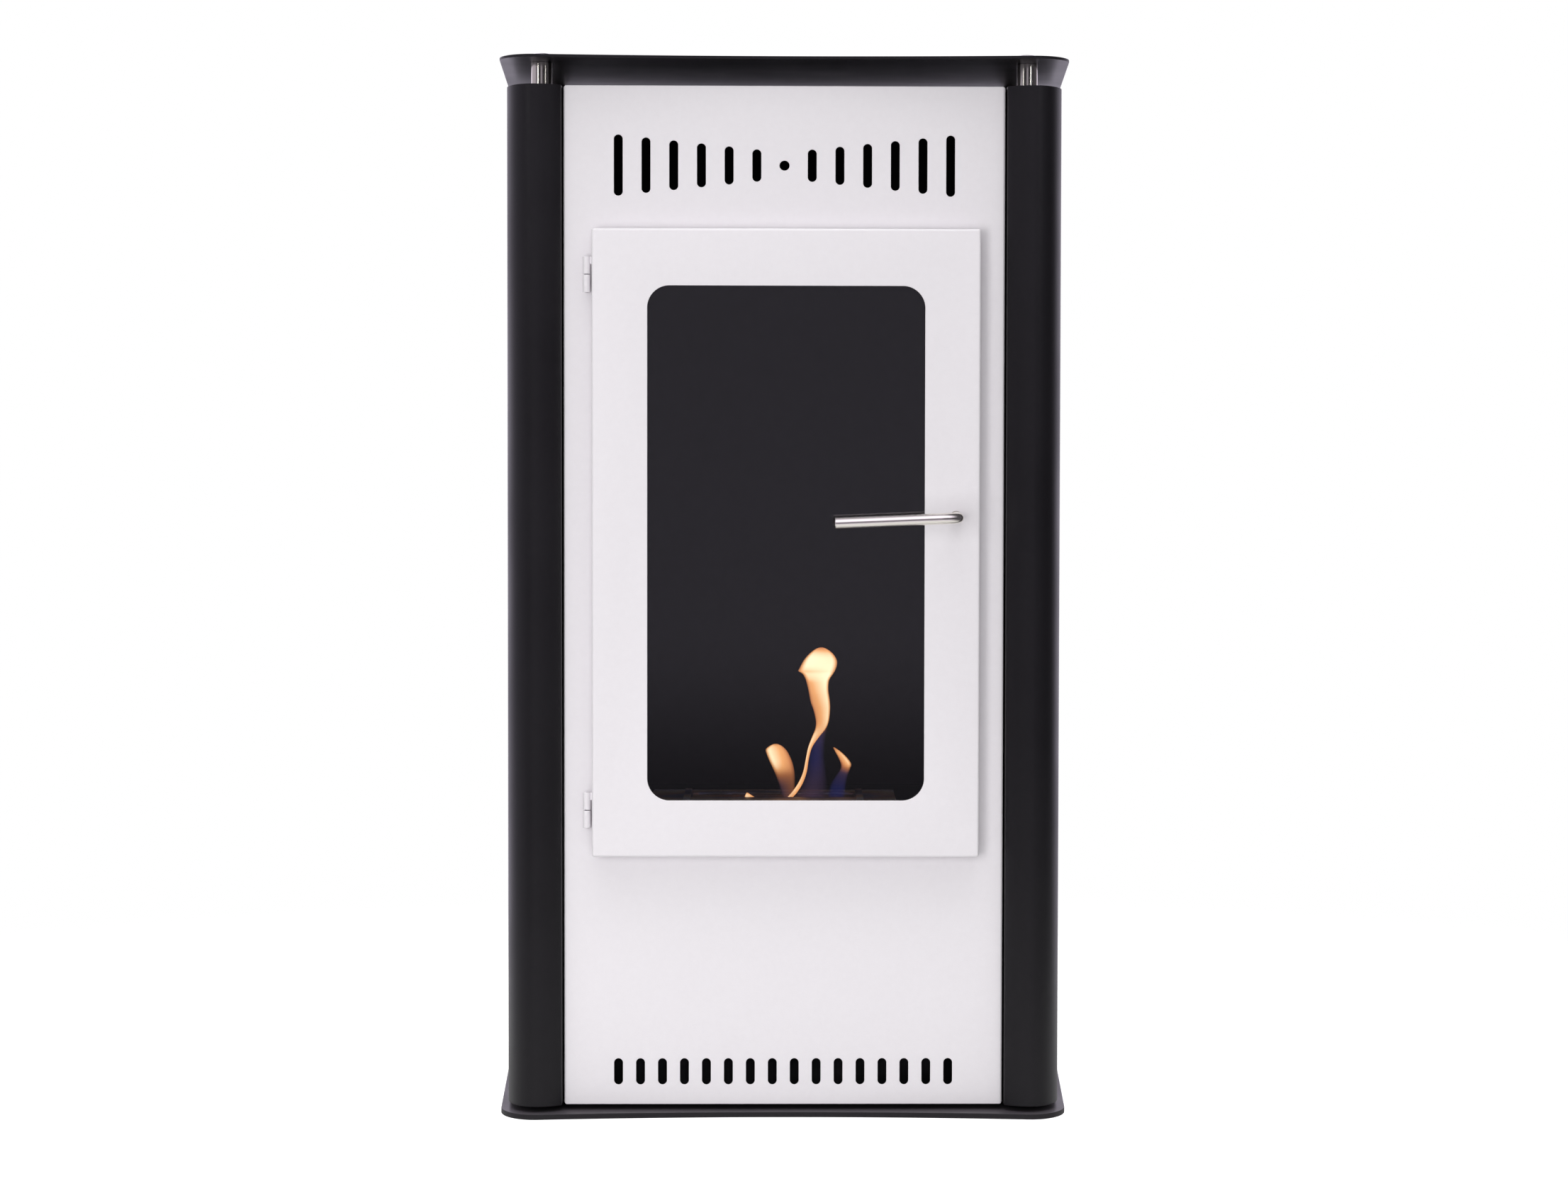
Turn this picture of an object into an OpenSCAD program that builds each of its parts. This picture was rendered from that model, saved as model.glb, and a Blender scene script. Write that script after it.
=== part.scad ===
// Free-standing bioethanol fireplace: a sheet-steel casing between two shaped plates, with a
// glazed door, a turning handle, a lift-out burner and a sliding snuffer lid.
// Millimetres. The origin is on the floor at the centre of the base plate, +Z is up and the
// door faces -Y.

/* [Casing] */
// Height of the casing, from the lower edge of its shells to their top edge
casing_h = 924; // [880:2:1100]
// Depth of the casing, over the flat front and back strips of its shells
casing_d = 300; // [290:2:340]
// Width of the white front panel
panel_w = 399; // [390:1:460]
// Open joint between the panel and the shell on each side of it
panel_gap = 1.5; // [1:0.5:3]
// How far the panel's face stands behind the shells' front strips
panel_recess = 15.5; // [10:0.5:20]
// How far the back panel's face stands inside the shells' back strips
back_recess = 8; // [4:0.5:14]
// Width of the strip between the panel and each corner of a side shell
strip_w = 24; // [20:0.5:30]
// Radius of the shells' front strips, which curve back towards the panel
strip_r = 35; // [32:1:60]
// Outer radius of the shells' rounded corners
corner_r = 27; // [22:1:32]
// Depth over which a shell's front corner rounds off into its side
corner_depth = 44; // [30:1:50]
// Angle by which each side spreads towards the back
side_flare = 2.5; // [1:0.25:4]
// Thickness of the casing's sheet steel
sheet = 1.5; // [1:0.25:2]
// Outer radius of a folded sheet edge
bend_r = 2.5; // [2.25:0.25:3]
// Depth of the flanges folded back along the front panel's sides
panel_flange = 15; // [8:1:20]
// Depth of the lip folded in at the front and back of each side shell
shell_lip = 14; // [8:1:15]
// Height of the flanges on the bottom tray and the top deck
deck_flange = 13; // [10:1:16]
// Corner radius of the front panel's outline
panel_corner_r = 2.5; // [1:0.5:5]
// How far the top deck lies below the top edge of the casing
deck_sink = 1; // [0.5:0.5:3]

/* [Plates] */
// Thickness of the base plate
base_t = 5; // [4:0.5:8]
// Shadow gap between the base plate and the casing
base_gap = 5; // [4:0.5:10]
// Thickness of the top plate
top_t = 2.5; // [2:0.5:5]
// Open gap between the casing and the top plate
top_gap = 23; // [16:1:40]
// Overhang of both plates beyond the casing's sides and back
plate_over = 6; // [4:0.5:10]
// Overhang of both plates in front of the casing's corners
plate_front = 9.5; // [6:0.5:12]
// How far the middle of each plate's front edge curves in
plate_dip = 13; // [5:0.5:16]

/* [Posts and standoffs] */
// Width of the square tube of the corner posts
post_w = 20; // [18:1:22]
// Wall of the corner posts
post_wall = 1.5; // [1.5:0.25:2]
// Distance of a post's axis from the corner's centre, towards the middle
post_in = 4.5; // [2:0.5:5]
// Distance of a post's axis from the corner's centre, towards mid-depth
post_back = 14.5; // [10:0.5:20]
// Thickness of the plates that close each post
post_cap_t = 3; // [2:0.5:5]
// Diameter of the standoffs under the top plate
standoff_d = 19; // [16:0.5:22]
// Diameter of the bolt caps on the top plate
cap_d = 17.5; // [16:0.5:22]
// Height of the bolt caps on the top plate
cap_h = 5; // [3:0.5:8]
// Diameter of the bolts through the standoffs and of the screws in the base
bolt_d = 8; // [6:0.5:10]
// Diameter of the spacer discs on the base plate
spacer_d = 24; // [20:1:28]

/* [Air slots] */
// Width of every air slot
slot_w = 8; // [6:0.5:10]
// Distance between the upper slots
upper_pitch = 25; // [20:0.5:27]
// Upper slots on each side of the middle hole
upper_count = 6; // [3:1:6]
// Length of the upper slots nearest to the middle
upper_len = 29; // [20:1:36]
// Growth in length from one upper slot to the next
upper_step = 5.2; // [2:0.1:7]
// Diameter of the hole in the middle of the upper slots
upper_hole_d = 9; // [6:0.5:12]
// Height of the upper slots' middle below the casing's top edge
upper_drop = 71.6; // [60:0.2:75]
// Distance between the lower slots
lower_pitch = 20; // [16:0.5:22]
// Number of lower slots
lower_count = 16; // [8:2:16]
// Length of the lower slots
lower_len = 24; // [16:0.5:28]
// Height of the lower slots' middle above the casing's lower edge
lower_rise = 30; // [28:0.5:60]

/* [Door] */
// Distance from the panel's left edge to the door, where the hinges stand
door_left = 26.3; // [20:0.1:40]
// Distance from the panel's right edge to the door
door_right = 22.7; // [15:0.1:40]
// Height of the door's lower edge above the casing's lower edge
door_rise = 228; // [150:1:300]
// Distance from the door's upper edge to the casing's top edge
door_drop = 129; // [115:1:200]
// How far the door's face stands in front of the panel
door_stand = 20; // [18:0.5:22]
// Gap between the door's folded rim and the panel
door_gap = 2; // [1.5:0.5:3]
// Border beside the window
border_x = 50; // [42:1:60]
// Border above and below the window
border_z = 51.5; // [48:0.5:60]
// Corner radius of the window
window_r = 20; // [12:1:30]
// Thickness of the glass
glass_t = 4; // [3:0.5:5]
// Thickness of the gasket in front of the glass
gasket_t = 2; // [1.5:0.25:2.5]
// Distance from the door's edge to the middle of its rope seal
seal_inset = 8; // [7.5:0.25:9]
// Lap of the door over the panel's aperture at the sides
lap_x = 13.5; // [13.5:0.5:16]
// Lap of the door over the panel's aperture at the top and bottom
lap_z = 27; // [20:1:30]

/* [Hinges] */
// Distance from the door's left edge to the hinge axis
hinge_out = 5; // [4.5:0.25:6]
// Distance from the panel's face to the hinge axis
hinge_stand = 8; // [7:0.5:10]
// Diameter of the hinge knuckles
knuckle_d = 7; // [6:0.5:8]
// Height of one hinge knuckle
knuckle_h = 16; // [12:1:24]
// Distance from the door's end to the split of a hinge
hinge_inset = 41.5; // [30:0.5:80]
// Diameter of the hinge pins
pin_d = 4; // [3:0.25:4.5]

/* [Handle] */
// Diameter of the handle's rod
rod_d = 10; // [8:0.5:11]
// Distance from the aperture's right edge to the handle's shaft
handle_in = 8.3; // [7:0.1:12]
// Height of the handle's shaft above the door's middle
handle_rise = 24.5; // [0:0.5:60]
// Distance from the door's face to the middle of the grip
handle_reach = 55; // [45:1:65]
// Distance from the shaft to the free end of the grip
handle_arm = 110; // [90:1:130]
// Radius of the handle's bend, at the middle of the rod
handle_bend = 15; // [12:0.5:20]
// Angle by which the grip droops at its free end
handle_droop = 2.4; // [0:0.2:5]
// Diameter of the shaft behind the door
spigot_d = 6; // [5:0.5:7]
// Length of the latch tongue from the shaft's axis
tongue_l = 26; // [22:0.5:28]
// Width of the latch tongue
tongue_w = 11; // [10:0.5:12]
// Thickness of the latch tongue
tongue_t = 4; // [3:0.5:5]
// Thickness of the keeper plate behind the panel
keeper_t = 2; // [1.5:0.25:3]

/* [Hearth] */
// How far the hearth lies below the window's lower edge
hearth_drop = 11; // [9:0.5:14]
// Air gap between the fire chamber's sides and the posts
chamber_side_gap = 19; // [14:0.5:20]
// Air gap between the fire chamber's back and the back panel
chamber_back_gap = 23.5; // [15:0.5:30]
// Height of the fire chamber's ceiling above the door's upper edge
ceiling_lift = -5; // [-12:1:10]
// Height and width of the rails that carry the hearth
rail_w = 20; // [15:1:24]

/* [Burner] */
// Sideways place of the burner's middle
burner_x = -9.5; // [-20:0.5:20]
// Distance from the front panel to the burner's flange
burner_gap = 18.5; // [12:0.5:24]
// Width of the burner's flange
flange_w = 229; // [220:1:240]
// Thickness of the burner's flange
flange_t = 2; // [1.5:0.25:3]
// Wall of the burner's tank
tank_wall = 1.2; // [1:0.1:2]
// Depth of the tank under its flange
tank_h = 60; // [40:1:90]
// How far the flange reaches beyond the tank
flange_lap = 14.5; // [12:0.5:16]
// Width of the burner's mouth
mouth_w = 152; // [130:1:160]
// Depth of the burner's mouth from front to back
mouth_d = 60; // [45:1:62]
// Distance from the mouth to the back edge of the flange
mouth_back = 32; // [26:0.5:36]
// Corner radius of the burner's mouth
mouth_r = 8; // [4:0.5:12]
// Height of the absorbing wool in the tank
wool_h = 42; // [30:1:50]
// Thickness of the snuffer lid
lid_t = 1.5; // [1:0.25:2]
// Lap of the closed lid over the mouth's front and back edges
lid_lap = 3; // [2:0.5:4]
// Lap of the lid over the mouth's ends
lid_side_lap = 5; // [4:0.5:7]
// Diameter of the tool hole in the lid
tool_hole_d = 10; // [8:0.5:14]

/* [Hidden] */

// Steps of a folded edge, a front strip, a quarter bend, a round corner and a slot's end
fold_steps = 2;
strip_steps = 6;
bend_steps = 4;
corner_steps = 16;
slot_steps = 10;
// Extra reach of a cutting shape beyond what it cuts
cut = 1;
// Gap between pieces of two bodies that rest on each other or pass close by
rest_gap = 0.3;
// Radial running clearance of a pin or shaft in its bore
running = 0.08;
// Radial clearance of a screw or bolt in its hole
screw_gap = 0.15;
$fn = 48;

// Plan of the casing
half_d = casing_d / 2;
inner_x = panel_w / 2 + panel_gap;
corner_x = inner_x + strip_w;
corner_y = half_d - corner_r;
front_corner_y = half_d - corner_depth;
back_corner_x = corner_x + (front_corner_y + corner_y) * tan(side_flare);
strip_y = half_d - strip_r;
strip_angle = asin((strip_w - bend_r) / (strip_r - bend_r));
fold_y = strip_y + (strip_r - bend_r) * cos(strip_angle);
panel_y = panel_recess - half_d;
panel_back_y = panel_y + sheet;
back_y = half_d - back_recess;
back_front_y = back_y - sheet;

// Heights of the casing and the plates
casing_z = base_t + base_gap;
casing_top = casing_z + casing_h;
tray_top = casing_z + sheet;
deck_top = casing_top - deck_sink;
deck_z = deck_top - sheet;
top_z = casing_top + top_gap;

// Plates: corner radius, front lobes, and the arc of the curved front edge between them
plate_r = corner_r + plate_over;
lobe_y = half_d + plate_front - corner_depth;
lobe_tip_r = plate_r * plate_r / corner_depth;
lobe_tip_y = half_d + plate_front - lobe_tip_r;
dip_centre_y = (corner_x * corner_x / plate_dip + 2 * lobe_tip_y - plate_dip) / 2;
dip_r = dip_centre_y - (half_d + plate_front - plate_dip);
dip_angle = asin(corner_x / (dip_r + lobe_tip_r));
dip_steps = 24;

// Posts, with the standoffs, spacers, bolts and screws on their axes
post_x = corner_x - post_in;
post_y = corner_y - post_back;
bolt_hole_r = bolt_d / 2 + screw_gap;
countersink_r = bolt_d;
countersink_h = base_t - 1;
screw_reach = 4;
bolt_reach = 6;
screw_end_z = tray_top + post_cap_t + screw_reach;
bolt_end_z = deck_z - post_cap_t - bolt_reach;

// Screws of the back panel and of the glass retainer
small_screw_d = 4;
small_head_d = 8;
small_head_h = 2.4;
screw_len = 6;
back_screw_xs = [-0.4, -0.15, 0.15, 0.4] * panel_w;
back_screw_zs = [tray_top + deck_flange / 2, deck_z - deck_flange / 2];

// Door
door_w = panel_w - door_left - door_right;
door_h = casing_h - door_rise - door_drop;
door_shift = (door_left - door_right) / 2;
door_z = casing_z + door_rise;
door_mid_z = door_z + door_h / 2;
door_y = panel_y - door_stand;
rim_y = panel_y - door_gap;
skin_back_y = door_y + sheet;
window_w = door_w - 2 * border_x;
window_h = door_h - 2 * border_z;
window_z = door_z + border_z;
aperture_w = door_w - 2 * lap_x;
aperture_h = door_h - 2 * lap_z;
aperture_r = 6;
aperture_right = door_shift + aperture_w / 2;

// Handle's place and its bush
handle_x = aperture_right - handle_in;
handle_z = door_mid_z + handle_rise;
bush_d = rod_d + 6;
bush_flange_d = bush_d + 4;
bush_flange_t = 1.5;

// Glass, which ends short of the bush, with its gasket, retainer and seal
bush_room = 3.2;
glass_lap = handle_x - bush_flange_d / 2 - bush_room - door_shift - window_w / 2;
glass_w = window_w + 2 * glass_lap;
glass_h = window_h + 2 * glass_lap;
glass_r = 8;
gasket_back_y = skin_back_y + gasket_t;
glass_back_y = gasket_back_y + glass_t;
retainer_back_y = glass_back_y + sheet;
retainer_edge = 3;
retainer_inner = 6;
boss_d = 8;
boss_room = 1;
boss_x = glass_w / 2 + boss_d / 2 + boss_room;
boss_z = glass_h / 2 + boss_d / 2 + boss_room;
boss_spread = glass_h * 0.38;
boss_spots = concat(
    [for (sx = [-1, 1], sz = [-1, 0, 1]) [sx * boss_x, sz * boss_spread]],
    [for (sz = [-1, 1]) [0, sz * boss_z]]);
seal_gap = 0.5;
seal_d = panel_y - seal_gap - retainer_back_y;
seal_y = retainer_back_y + seal_d / 2;
seal_r = 14;

// Hinges
hinge_x = door_shift - door_w / 2 - hinge_out;
hinge_y = panel_y - hinge_stand;
hinge_zs = [door_z + hinge_inset, door_z + door_h - hinge_inset];
leaf_h = 7;
leaf_t = 3;
knuckle_gap = 0.2;
pin_reach = 11;

// Grip and latch
grip_y = door_y - handle_reach;
keeper_h = 40;
keeper_margin = 3;
latch_gap = 0.6;
tongue_y = panel_back_y + keeper_t + latch_gap;
nut_t = 5;
nut_w = 10;
thread_end = 1;

// Fire chamber
hearth_top = window_z - hearth_drop;
hearth_z = hearth_top - sheet;
chamber_x = post_x - post_w / 2 - chamber_side_gap;
chamber_back_y = back_front_y - chamber_back_gap;
ceiling_z = door_z + door_h + ceiling_lift;

// Burner and lid
lid_w = mouth_w + 2 * lid_side_lap;
lid_d = mouth_d + 2 * lid_lap;
lid_margin = 1.5;
flange_d = mouth_back + mouth_d + lid_d + 2 * lid_margin;
flange_y = panel_back_y + burner_gap;
flange_back_y = flange_y + flange_d;
flange_mid_y = (flange_y + flange_back_y) / 2;
flange_z = hearth_top + rest_gap;
flange_top = flange_z + flange_t;
tank_w = flange_w - 2 * flange_lap;
tank_d = flange_d - 2 * flange_lap;
tank_z = flange_z - tank_h;
mouth_mid_y = flange_back_y - mouth_back - mouth_d / 2;
lid_y = flange_y + lid_margin;
lid_z = flange_top + rest_gap;
lid_travel = lid_lap + mouth_d + lid_margin;
rail_wall = 2;
rail_lip = 4;
rail_lip_z = lid_z + lid_t + rest_gap;
hearth_hole_gap = 1;

// Points along an oval arc about c; the first one is left out where first is 1
function oval_arc(c, rx, ry, a0, a1, n, first = 0) =
    [for (i = [first:n]) let (a = a0 + (a1 - a0) * i / n) c + [rx * cos(a), ry * sin(a)]];

// Points along a round arc about c
function arc(c, r, a0, a1, n, first = 0) = oval_arc(c, r, r, a0, a1, n, first);

// Angle on an oval arc at which its outline stands at angle a, for radii rx and ry
function oval_angle(a, rx, ry) = atan(tan(a) * ry / rx);

// Rectangle with round corners about the origin
function round_rect(w, h, r, n = 6) = concat(
    arc([w / 2 - r, h / 2 - r], r, 0, 90, n),
    arc([r - w / 2, h / 2 - r], r, 90, 180, n),
    arc([r - w / 2, r - h / 2], r, 180, 270, n),
    arc([w / 2 - r, r - h / 2], r, 270, 360, n));

// Upright slot with round ends about the origin
function upright_slot(w, l) = concat(
    arc([0, (l - w) / 2], w / 2, 0, 180, slot_steps),
    arc([0, (w - l) / 2], w / 2, 180, 360, slot_steps));

// Right half of the casing's whole plan, set in by o, from the front to the back
function half_plan(o) = concat(
    arc([corner_x, -strip_y], strip_r - o, -90 - strip_angle, -90, strip_steps),
    oval_arc([corner_x, -front_corner_y], corner_r - o, corner_depth - o, -90,
        -oval_angle(side_flare, corner_r, corner_depth), corner_steps, 1),
    arc([back_corner_x, corner_y], corner_r - o, -side_flare, 90, corner_steps));

// Outline of the right side shell, set in by o from its outer face
function shell_outline(o) = concat(
    arc([inner_x + bend_r, -fold_y], bend_r - o, -180, -120 - strip_angle * 2 / 3, fold_steps),
    half_plan(o),
    arc([inner_x + bend_r, half_d - bend_r], bend_r - o, 90, 180, bend_steps));

// Channel folded from sheet, open towards +Y, with its face on Y = 0; o sets it in
function channel(half, d, o) = concat(
    arc([bend_r - half, bend_r], bend_r - o, 180, 270, bend_steps),
    arc([half - bend_r, bend_r], bend_r - o, 270, 360, bend_steps),
    [[half - o, d], [o - half, d]]);

// The same points mirrored to the left side, in reverse order
function mirrored(points) = [for (i = [len(points) - 1:-1:0]) [-points[i][0], points[i][1]]];

// Outline of the base and top plates, with the curved front edge
function plate_outline() = let (half = concat(
    arc([0, -dip_centre_y], dip_r, 90, 90 - dip_angle, dip_steps / 2),
    oval_arc([corner_x, -lobe_y], plate_r, corner_depth,
        -90 - oval_angle(dip_angle, corner_depth, plate_r),
        -oval_angle(side_flare, plate_r, corner_depth), corner_steps, 1),
    arc([back_corner_x, corner_y], plate_r, -side_flare, 90, corner_steps)))
    concat(half, mirrored(half));

// Extrudes an upright outline in X and Z through the depth from y0 to y1
module through_y(y0, y1) {
    translate([0, y1, 0])
        rotate([90, 0, 0])
            linear_extrude(y1 - y0)
                children();
}

// Puts its children on the axis of each of the four posts
module at_posts() {
    for (sx = [-1, 1], sy = [-1, 1])
        translate([sx * post_x, sy * post_y, 0])
            children();
}

// Round bar or bore along Y from y0 to y1
module bar_y(d, y0, y1) {
    translate([0, y1, 0])
        rotate([90, 0, 0])
            cylinder(d = d, h = y1 - y0);
}

// Flat sheet that fills the casing's plan between the front and back panels; it is notched
// at its corners for the panel's flanges and the shells' lips
module inner_sheet(z) {
    half = half_plan(sheet + rest_gap);
    notch_w = panel_gap + 2 * (sheet + rest_gap);
    notch_front = panel_y + panel_flange + rest_gap;
    notch_back = half_d - shell_lip - rest_gap;
    translate([0, 0, z])
        linear_extrude(sheet)
            difference() {
                polygon(concat(half, mirrored(half)));
                for (y = [panel_back_y - half_d, back_front_y + half_d])
                    translate([0, y])
                        square([2 * (inner_x + sheet + rest_gap), 2 * half_d], center = true);
                for (s = [-1, 1])
                    translate([s * (panel_w + panel_gap) / 2 - notch_w / 2, 0]) {
                        translate([0, panel_back_y - cut])
                            square([notch_w, notch_front - panel_back_y + cut]);
                        translate([0, notch_back])
                            square([notch_w, back_front_y - notch_back + cut]);
                    }
            }
}

// Upright flanges along the front and back edges of a flat sheet
module edge_flanges(z) {
    flange_span = panel_w - 2 * (sheet + rest_gap);
    translate([-flange_span / 2, panel_back_y, z])
        cube([flange_span, sheet, deck_flange]);
    translate([-flange_span / 2, back_front_y - sheet, z])
        cube([flange_span, sheet, deck_flange]);
}

module base_plate() {
    color("#2c2a2c")
        difference() {
            linear_extrude(base_t)
                polygon(plate_outline());
            at_posts() {
                translate([0, 0, -cut])
                    cylinder(r = bolt_hole_r, h = base_t + 2 * cut);
                translate([0, 0, -cut])
                    cylinder(r = countersink_r + screw_gap, h = cut);
                cylinder(r1 = countersink_r + screw_gap, r2 = bolt_hole_r, h = countersink_h);
            }
        }
}

module base_spacers() {
    color("#1c1b1d")
        at_posts()
            translate([0, 0, base_t])
                difference() {
                    cylinder(d = spacer_d, h = base_gap);
                    translate([0, 0, -cut])
                        cylinder(r = bolt_hole_r, h = base_gap + 2 * cut);
                }
}

module base_screws() {
    color("#8d8d90")
        at_posts() {
            translate([0, 0, rest_gap])
                cylinder(r1 = countersink_r - rest_gap, r2 = bolt_d / 2, h = countersink_h - rest_gap);
            translate([0, 0, countersink_h - rest_gap])
                cylinder(d = bolt_d, h = screw_end_z - countersink_h + rest_gap);
        }
}

module bottom_tray() {
    color("#2a292b")
        difference() {
            union() {
                inner_sheet(casing_z);
                edge_flanges(tray_top);
            }
            at_posts()
                translate([0, 0, casing_z - cut])
                    cylinder(r = bolt_hole_r, h = sheet + 2 * cut);
            back_screw_holes();
        }
}

module corner_posts() {
    post_h = deck_z - tray_top;
    bore_w = post_w - 2 * post_wall;
    color("#3a393c")
        at_posts()
            translate([0, 0, tray_top])
                difference() {
                    translate([-post_w / 2, -post_w / 2, 0])
                        cube([post_w, post_w, post_h]);
                    translate([-bore_w / 2, -bore_w / 2, post_cap_t])
                        cube([bore_w, bore_w, post_h - 2 * post_cap_t]);
                    translate([0, 0, -cut])
                        cylinder(r = bolt_hole_r, h = post_h + 2 * cut);
                }
}

module hearth_rails() {
    rail_l = 2 * post_y + post_w;
    color("#3a393c")
        for (s = [-1, 1])
            translate([s * (post_x - post_w / 2), -rail_l / 2, 0]) {
                translate([s < 0 ? 0 : -sheet, 0, hearth_z - rail_w])
                    cube([sheet, rail_l, rail_w]);
                translate([s < 0 ? 0 : -rail_w, 0, hearth_z - sheet])
                    cube([rail_w, rail_l, sheet]);
            }
}

// Right side shell; the left one is its mirror image
module side_shell() {
    lip_start = shell_lip - fold_y - bend_r;
    lip_end = half_d - shell_lip;
    color("#201f22")
        translate([0, 0, casing_z])
            linear_extrude(casing_h)
                difference() {
                    polygon(shell_outline(0));
                    polygon(shell_outline(sheet));
                    translate([inner_x - cut, lip_start])
                        square([sheet + 2 * cut, lip_end - lip_start]);
                }
}

module side_shell_left() {
    mirror([1, 0, 0])
        side_shell();
}

module side_shell_right() {
    side_shell();
}

// Upper air slots, which grow outwards from a round hole
module upper_slots() {
    translate([0, casing_top - upper_drop])
        for (s = [-1, 1], k = [1:upper_count])
            translate([s * k * upper_pitch, 0])
                polygon(upright_slot(slot_w, upper_len + (k - 1) * upper_step));
}

// Lower air slots, all of one length
module lower_slots() {
    for (i = [0:lower_count - 1])
        translate([(i - (lower_count - 1) / 2) * lower_pitch, casing_z + lower_rise])
            polygon(upright_slot(slot_w, lower_len));
}

module front_panel() {
    color("#dfdbe0")
        difference() {
            intersection() {
                translate([0, panel_y, casing_z])
                    linear_extrude(casing_h)
                        difference() {
                            polygon(channel(panel_w / 2, panel_flange, 0));
                            polygon(channel(panel_w / 2, panel_flange + cut, sheet));
                        }
                through_y(panel_y - cut, panel_y + panel_flange + cut)
                    translate([0, casing_z + casing_h / 2])
                        polygon(round_rect(panel_w, casing_h, panel_corner_r));
            }
            through_y(panel_y - cut, panel_back_y + cut) {
                upper_slots();
                lower_slots();
                translate([door_shift, door_mid_z])
                    polygon(round_rect(aperture_w, aperture_h, aperture_r));
            }
            translate([0, 0, casing_top - upper_drop])
                bar_y(upper_hole_d, panel_y - cut, panel_back_y + cut);
        }
}

// Screw holes through the back panel and the flanges that carry it
module back_screw_holes() {
    for (x = back_screw_xs, z = back_screw_zs)
        translate([x, 0, z])
            bar_y(small_screw_d + 2 * screw_gap, back_front_y - sheet - cut, back_y + cut);
}

module back_panel() {
    color("#232225")
        difference() {
            through_y(back_front_y, back_y)
                translate([0, casing_z + casing_h / 2])
                    polygon(round_rect(panel_w, casing_h, panel_corner_r));
            through_y(back_front_y - cut, back_y + cut)
                translate([0, deck_flange / 2])
                    lower_slots();
            back_screw_holes();
        }
}

module back_panel_screws() {
    color("#9a9a9d")
        for (x = back_screw_xs, z = back_screw_zs)
            translate([x, 0, z]) {
                bar_y(small_screw_d, back_y - screw_len, back_y);
                bar_y(small_head_d, back_y, back_y + small_head_h);
            }
}

module hearth_plate() {
    plate_half = post_x - post_w / 2 - sheet - rest_gap;
    apron_h = rail_w;
    apron_w = 2 * chamber_x;
    color("#242326")
        difference() {
            union() {
                translate([-plate_half, panel_y + panel_flange + 1, hearth_z])
                    cube([2 * plate_half, chamber_back_y + sheet - panel_y - panel_flange - 1, sheet]);
                translate([-apron_w / 2, panel_back_y, hearth_z])
                    cube([apron_w, panel_flange, sheet]);
                translate([-apron_w / 2, panel_back_y, hearth_z - apron_h])
                    cube([apron_w, sheet, apron_h]);
            }
            translate([burner_x - tank_w / 2 - hearth_hole_gap,
                flange_mid_y - tank_d / 2 - hearth_hole_gap, hearth_z - cut])
                cube([tank_w + 2 * hearth_hole_gap, tank_d + 2 * hearth_hole_gap, sheet + 2 * cut]);
        }
}

module chamber_back() {
    color("#242326")
        translate([-chamber_x, chamber_back_y, hearth_top])
            cube([2 * chamber_x, sheet, ceiling_z - hearth_top]);
}

// Side wall of the fire chamber, on the side given by s
module chamber_side(s) {
    color("#242326")
        translate([s < 0 ? -chamber_x - sheet : chamber_x, panel_back_y, hearth_top])
            cube([sheet, chamber_back_y + sheet - panel_back_y, ceiling_z - hearth_top]);
}

module chamber_left() {
    chamber_side(-1);
}

module chamber_right() {
    chamber_side(1);
}

module chamber_ceiling() {
    ceiling_d = chamber_back_y + sheet - panel_back_y;
    vent_l = ceiling_d / 2;
    color("#242326")
        difference() {
            translate([-chamber_x - sheet, panel_back_y, ceiling_z])
                cube([2 * (chamber_x + sheet), ceiling_d, sheet]);
            for (s = [-1, 1], k = [1:upper_count])
                translate([s * k * upper_pitch, panel_back_y + ceiling_d / 2, ceiling_z - cut])
                    linear_extrude(sheet + 2 * cut)
                        polygon(upright_slot(slot_w, vent_l));
        }
}

module top_deck() {
    vent_l = casing_d / 2;
    color("#2a292b")
        difference() {
            union() {
                inner_sheet(deck_z);
                edge_flanges(deck_z - deck_flange);
            }
            at_posts()
                translate([0, 0, deck_z - cut])
                    cylinder(r = bolt_hole_r, h = sheet + 2 * cut);
            for (s = [-1, 1], k = [1:upper_count])
                translate([s * k * upper_pitch, 0, deck_z - cut])
                    linear_extrude(sheet + 2 * cut)
                        polygon(upright_slot(slot_w, vent_l));
            back_screw_holes();
        }
}

module standoffs() {
    color("#b9b6b4")
        at_posts()
            translate([0, 0, deck_top])
                difference() {
                    cylinder(d = standoff_d, h = top_z - deck_top);
                    translate([0, 0, -cut])
                        cylinder(r = bolt_hole_r, h = top_z - deck_top + 2 * cut);
                }
}

module standoff_bolts() {
    chamfer = 1;
    color("#c9c7c5")
        at_posts() {
            translate([0, 0, top_z + top_t])
                cylinder(d = cap_d, h = cap_h - chamfer);
            translate([0, 0, top_z + top_t + cap_h - chamfer])
                cylinder(d1 = cap_d, d2 = cap_d - 2 * chamfer, h = chamfer);
            translate([0, 0, bolt_end_z])
                cylinder(d = bolt_d, h = top_z + top_t - bolt_end_z);
        }
}

module top_plate() {
    color("#2c2a2c")
        difference() {
            translate([0, 0, top_z])
                linear_extrude(top_t)
                    polygon(plate_outline());
            at_posts()
                translate([0, 0, top_z - cut])
                    cylinder(r = bolt_hole_r, h = top_t + 2 * cut);
        }
}

// Lower knuckle of each hinge, on a web that stands on the panel
module hinge_frame_knuckles() {
    web_t = leaf_t + 1;
    color("#dfdbe0")
        for (z = hinge_zs)
            translate([hinge_x, hinge_y, z - knuckle_h])
                difference() {
                    union() {
                        cylinder(d = knuckle_d, h = knuckle_h);
                        translate([-web_t / 2, 0, 0])
                            cube([web_t, hinge_stand, knuckle_h]);
                    }
                    translate([0, 0, knuckle_h - pin_reach])
                        cylinder(r = pin_d / 2 + running, h = pin_reach + cut);
                }
}

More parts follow.
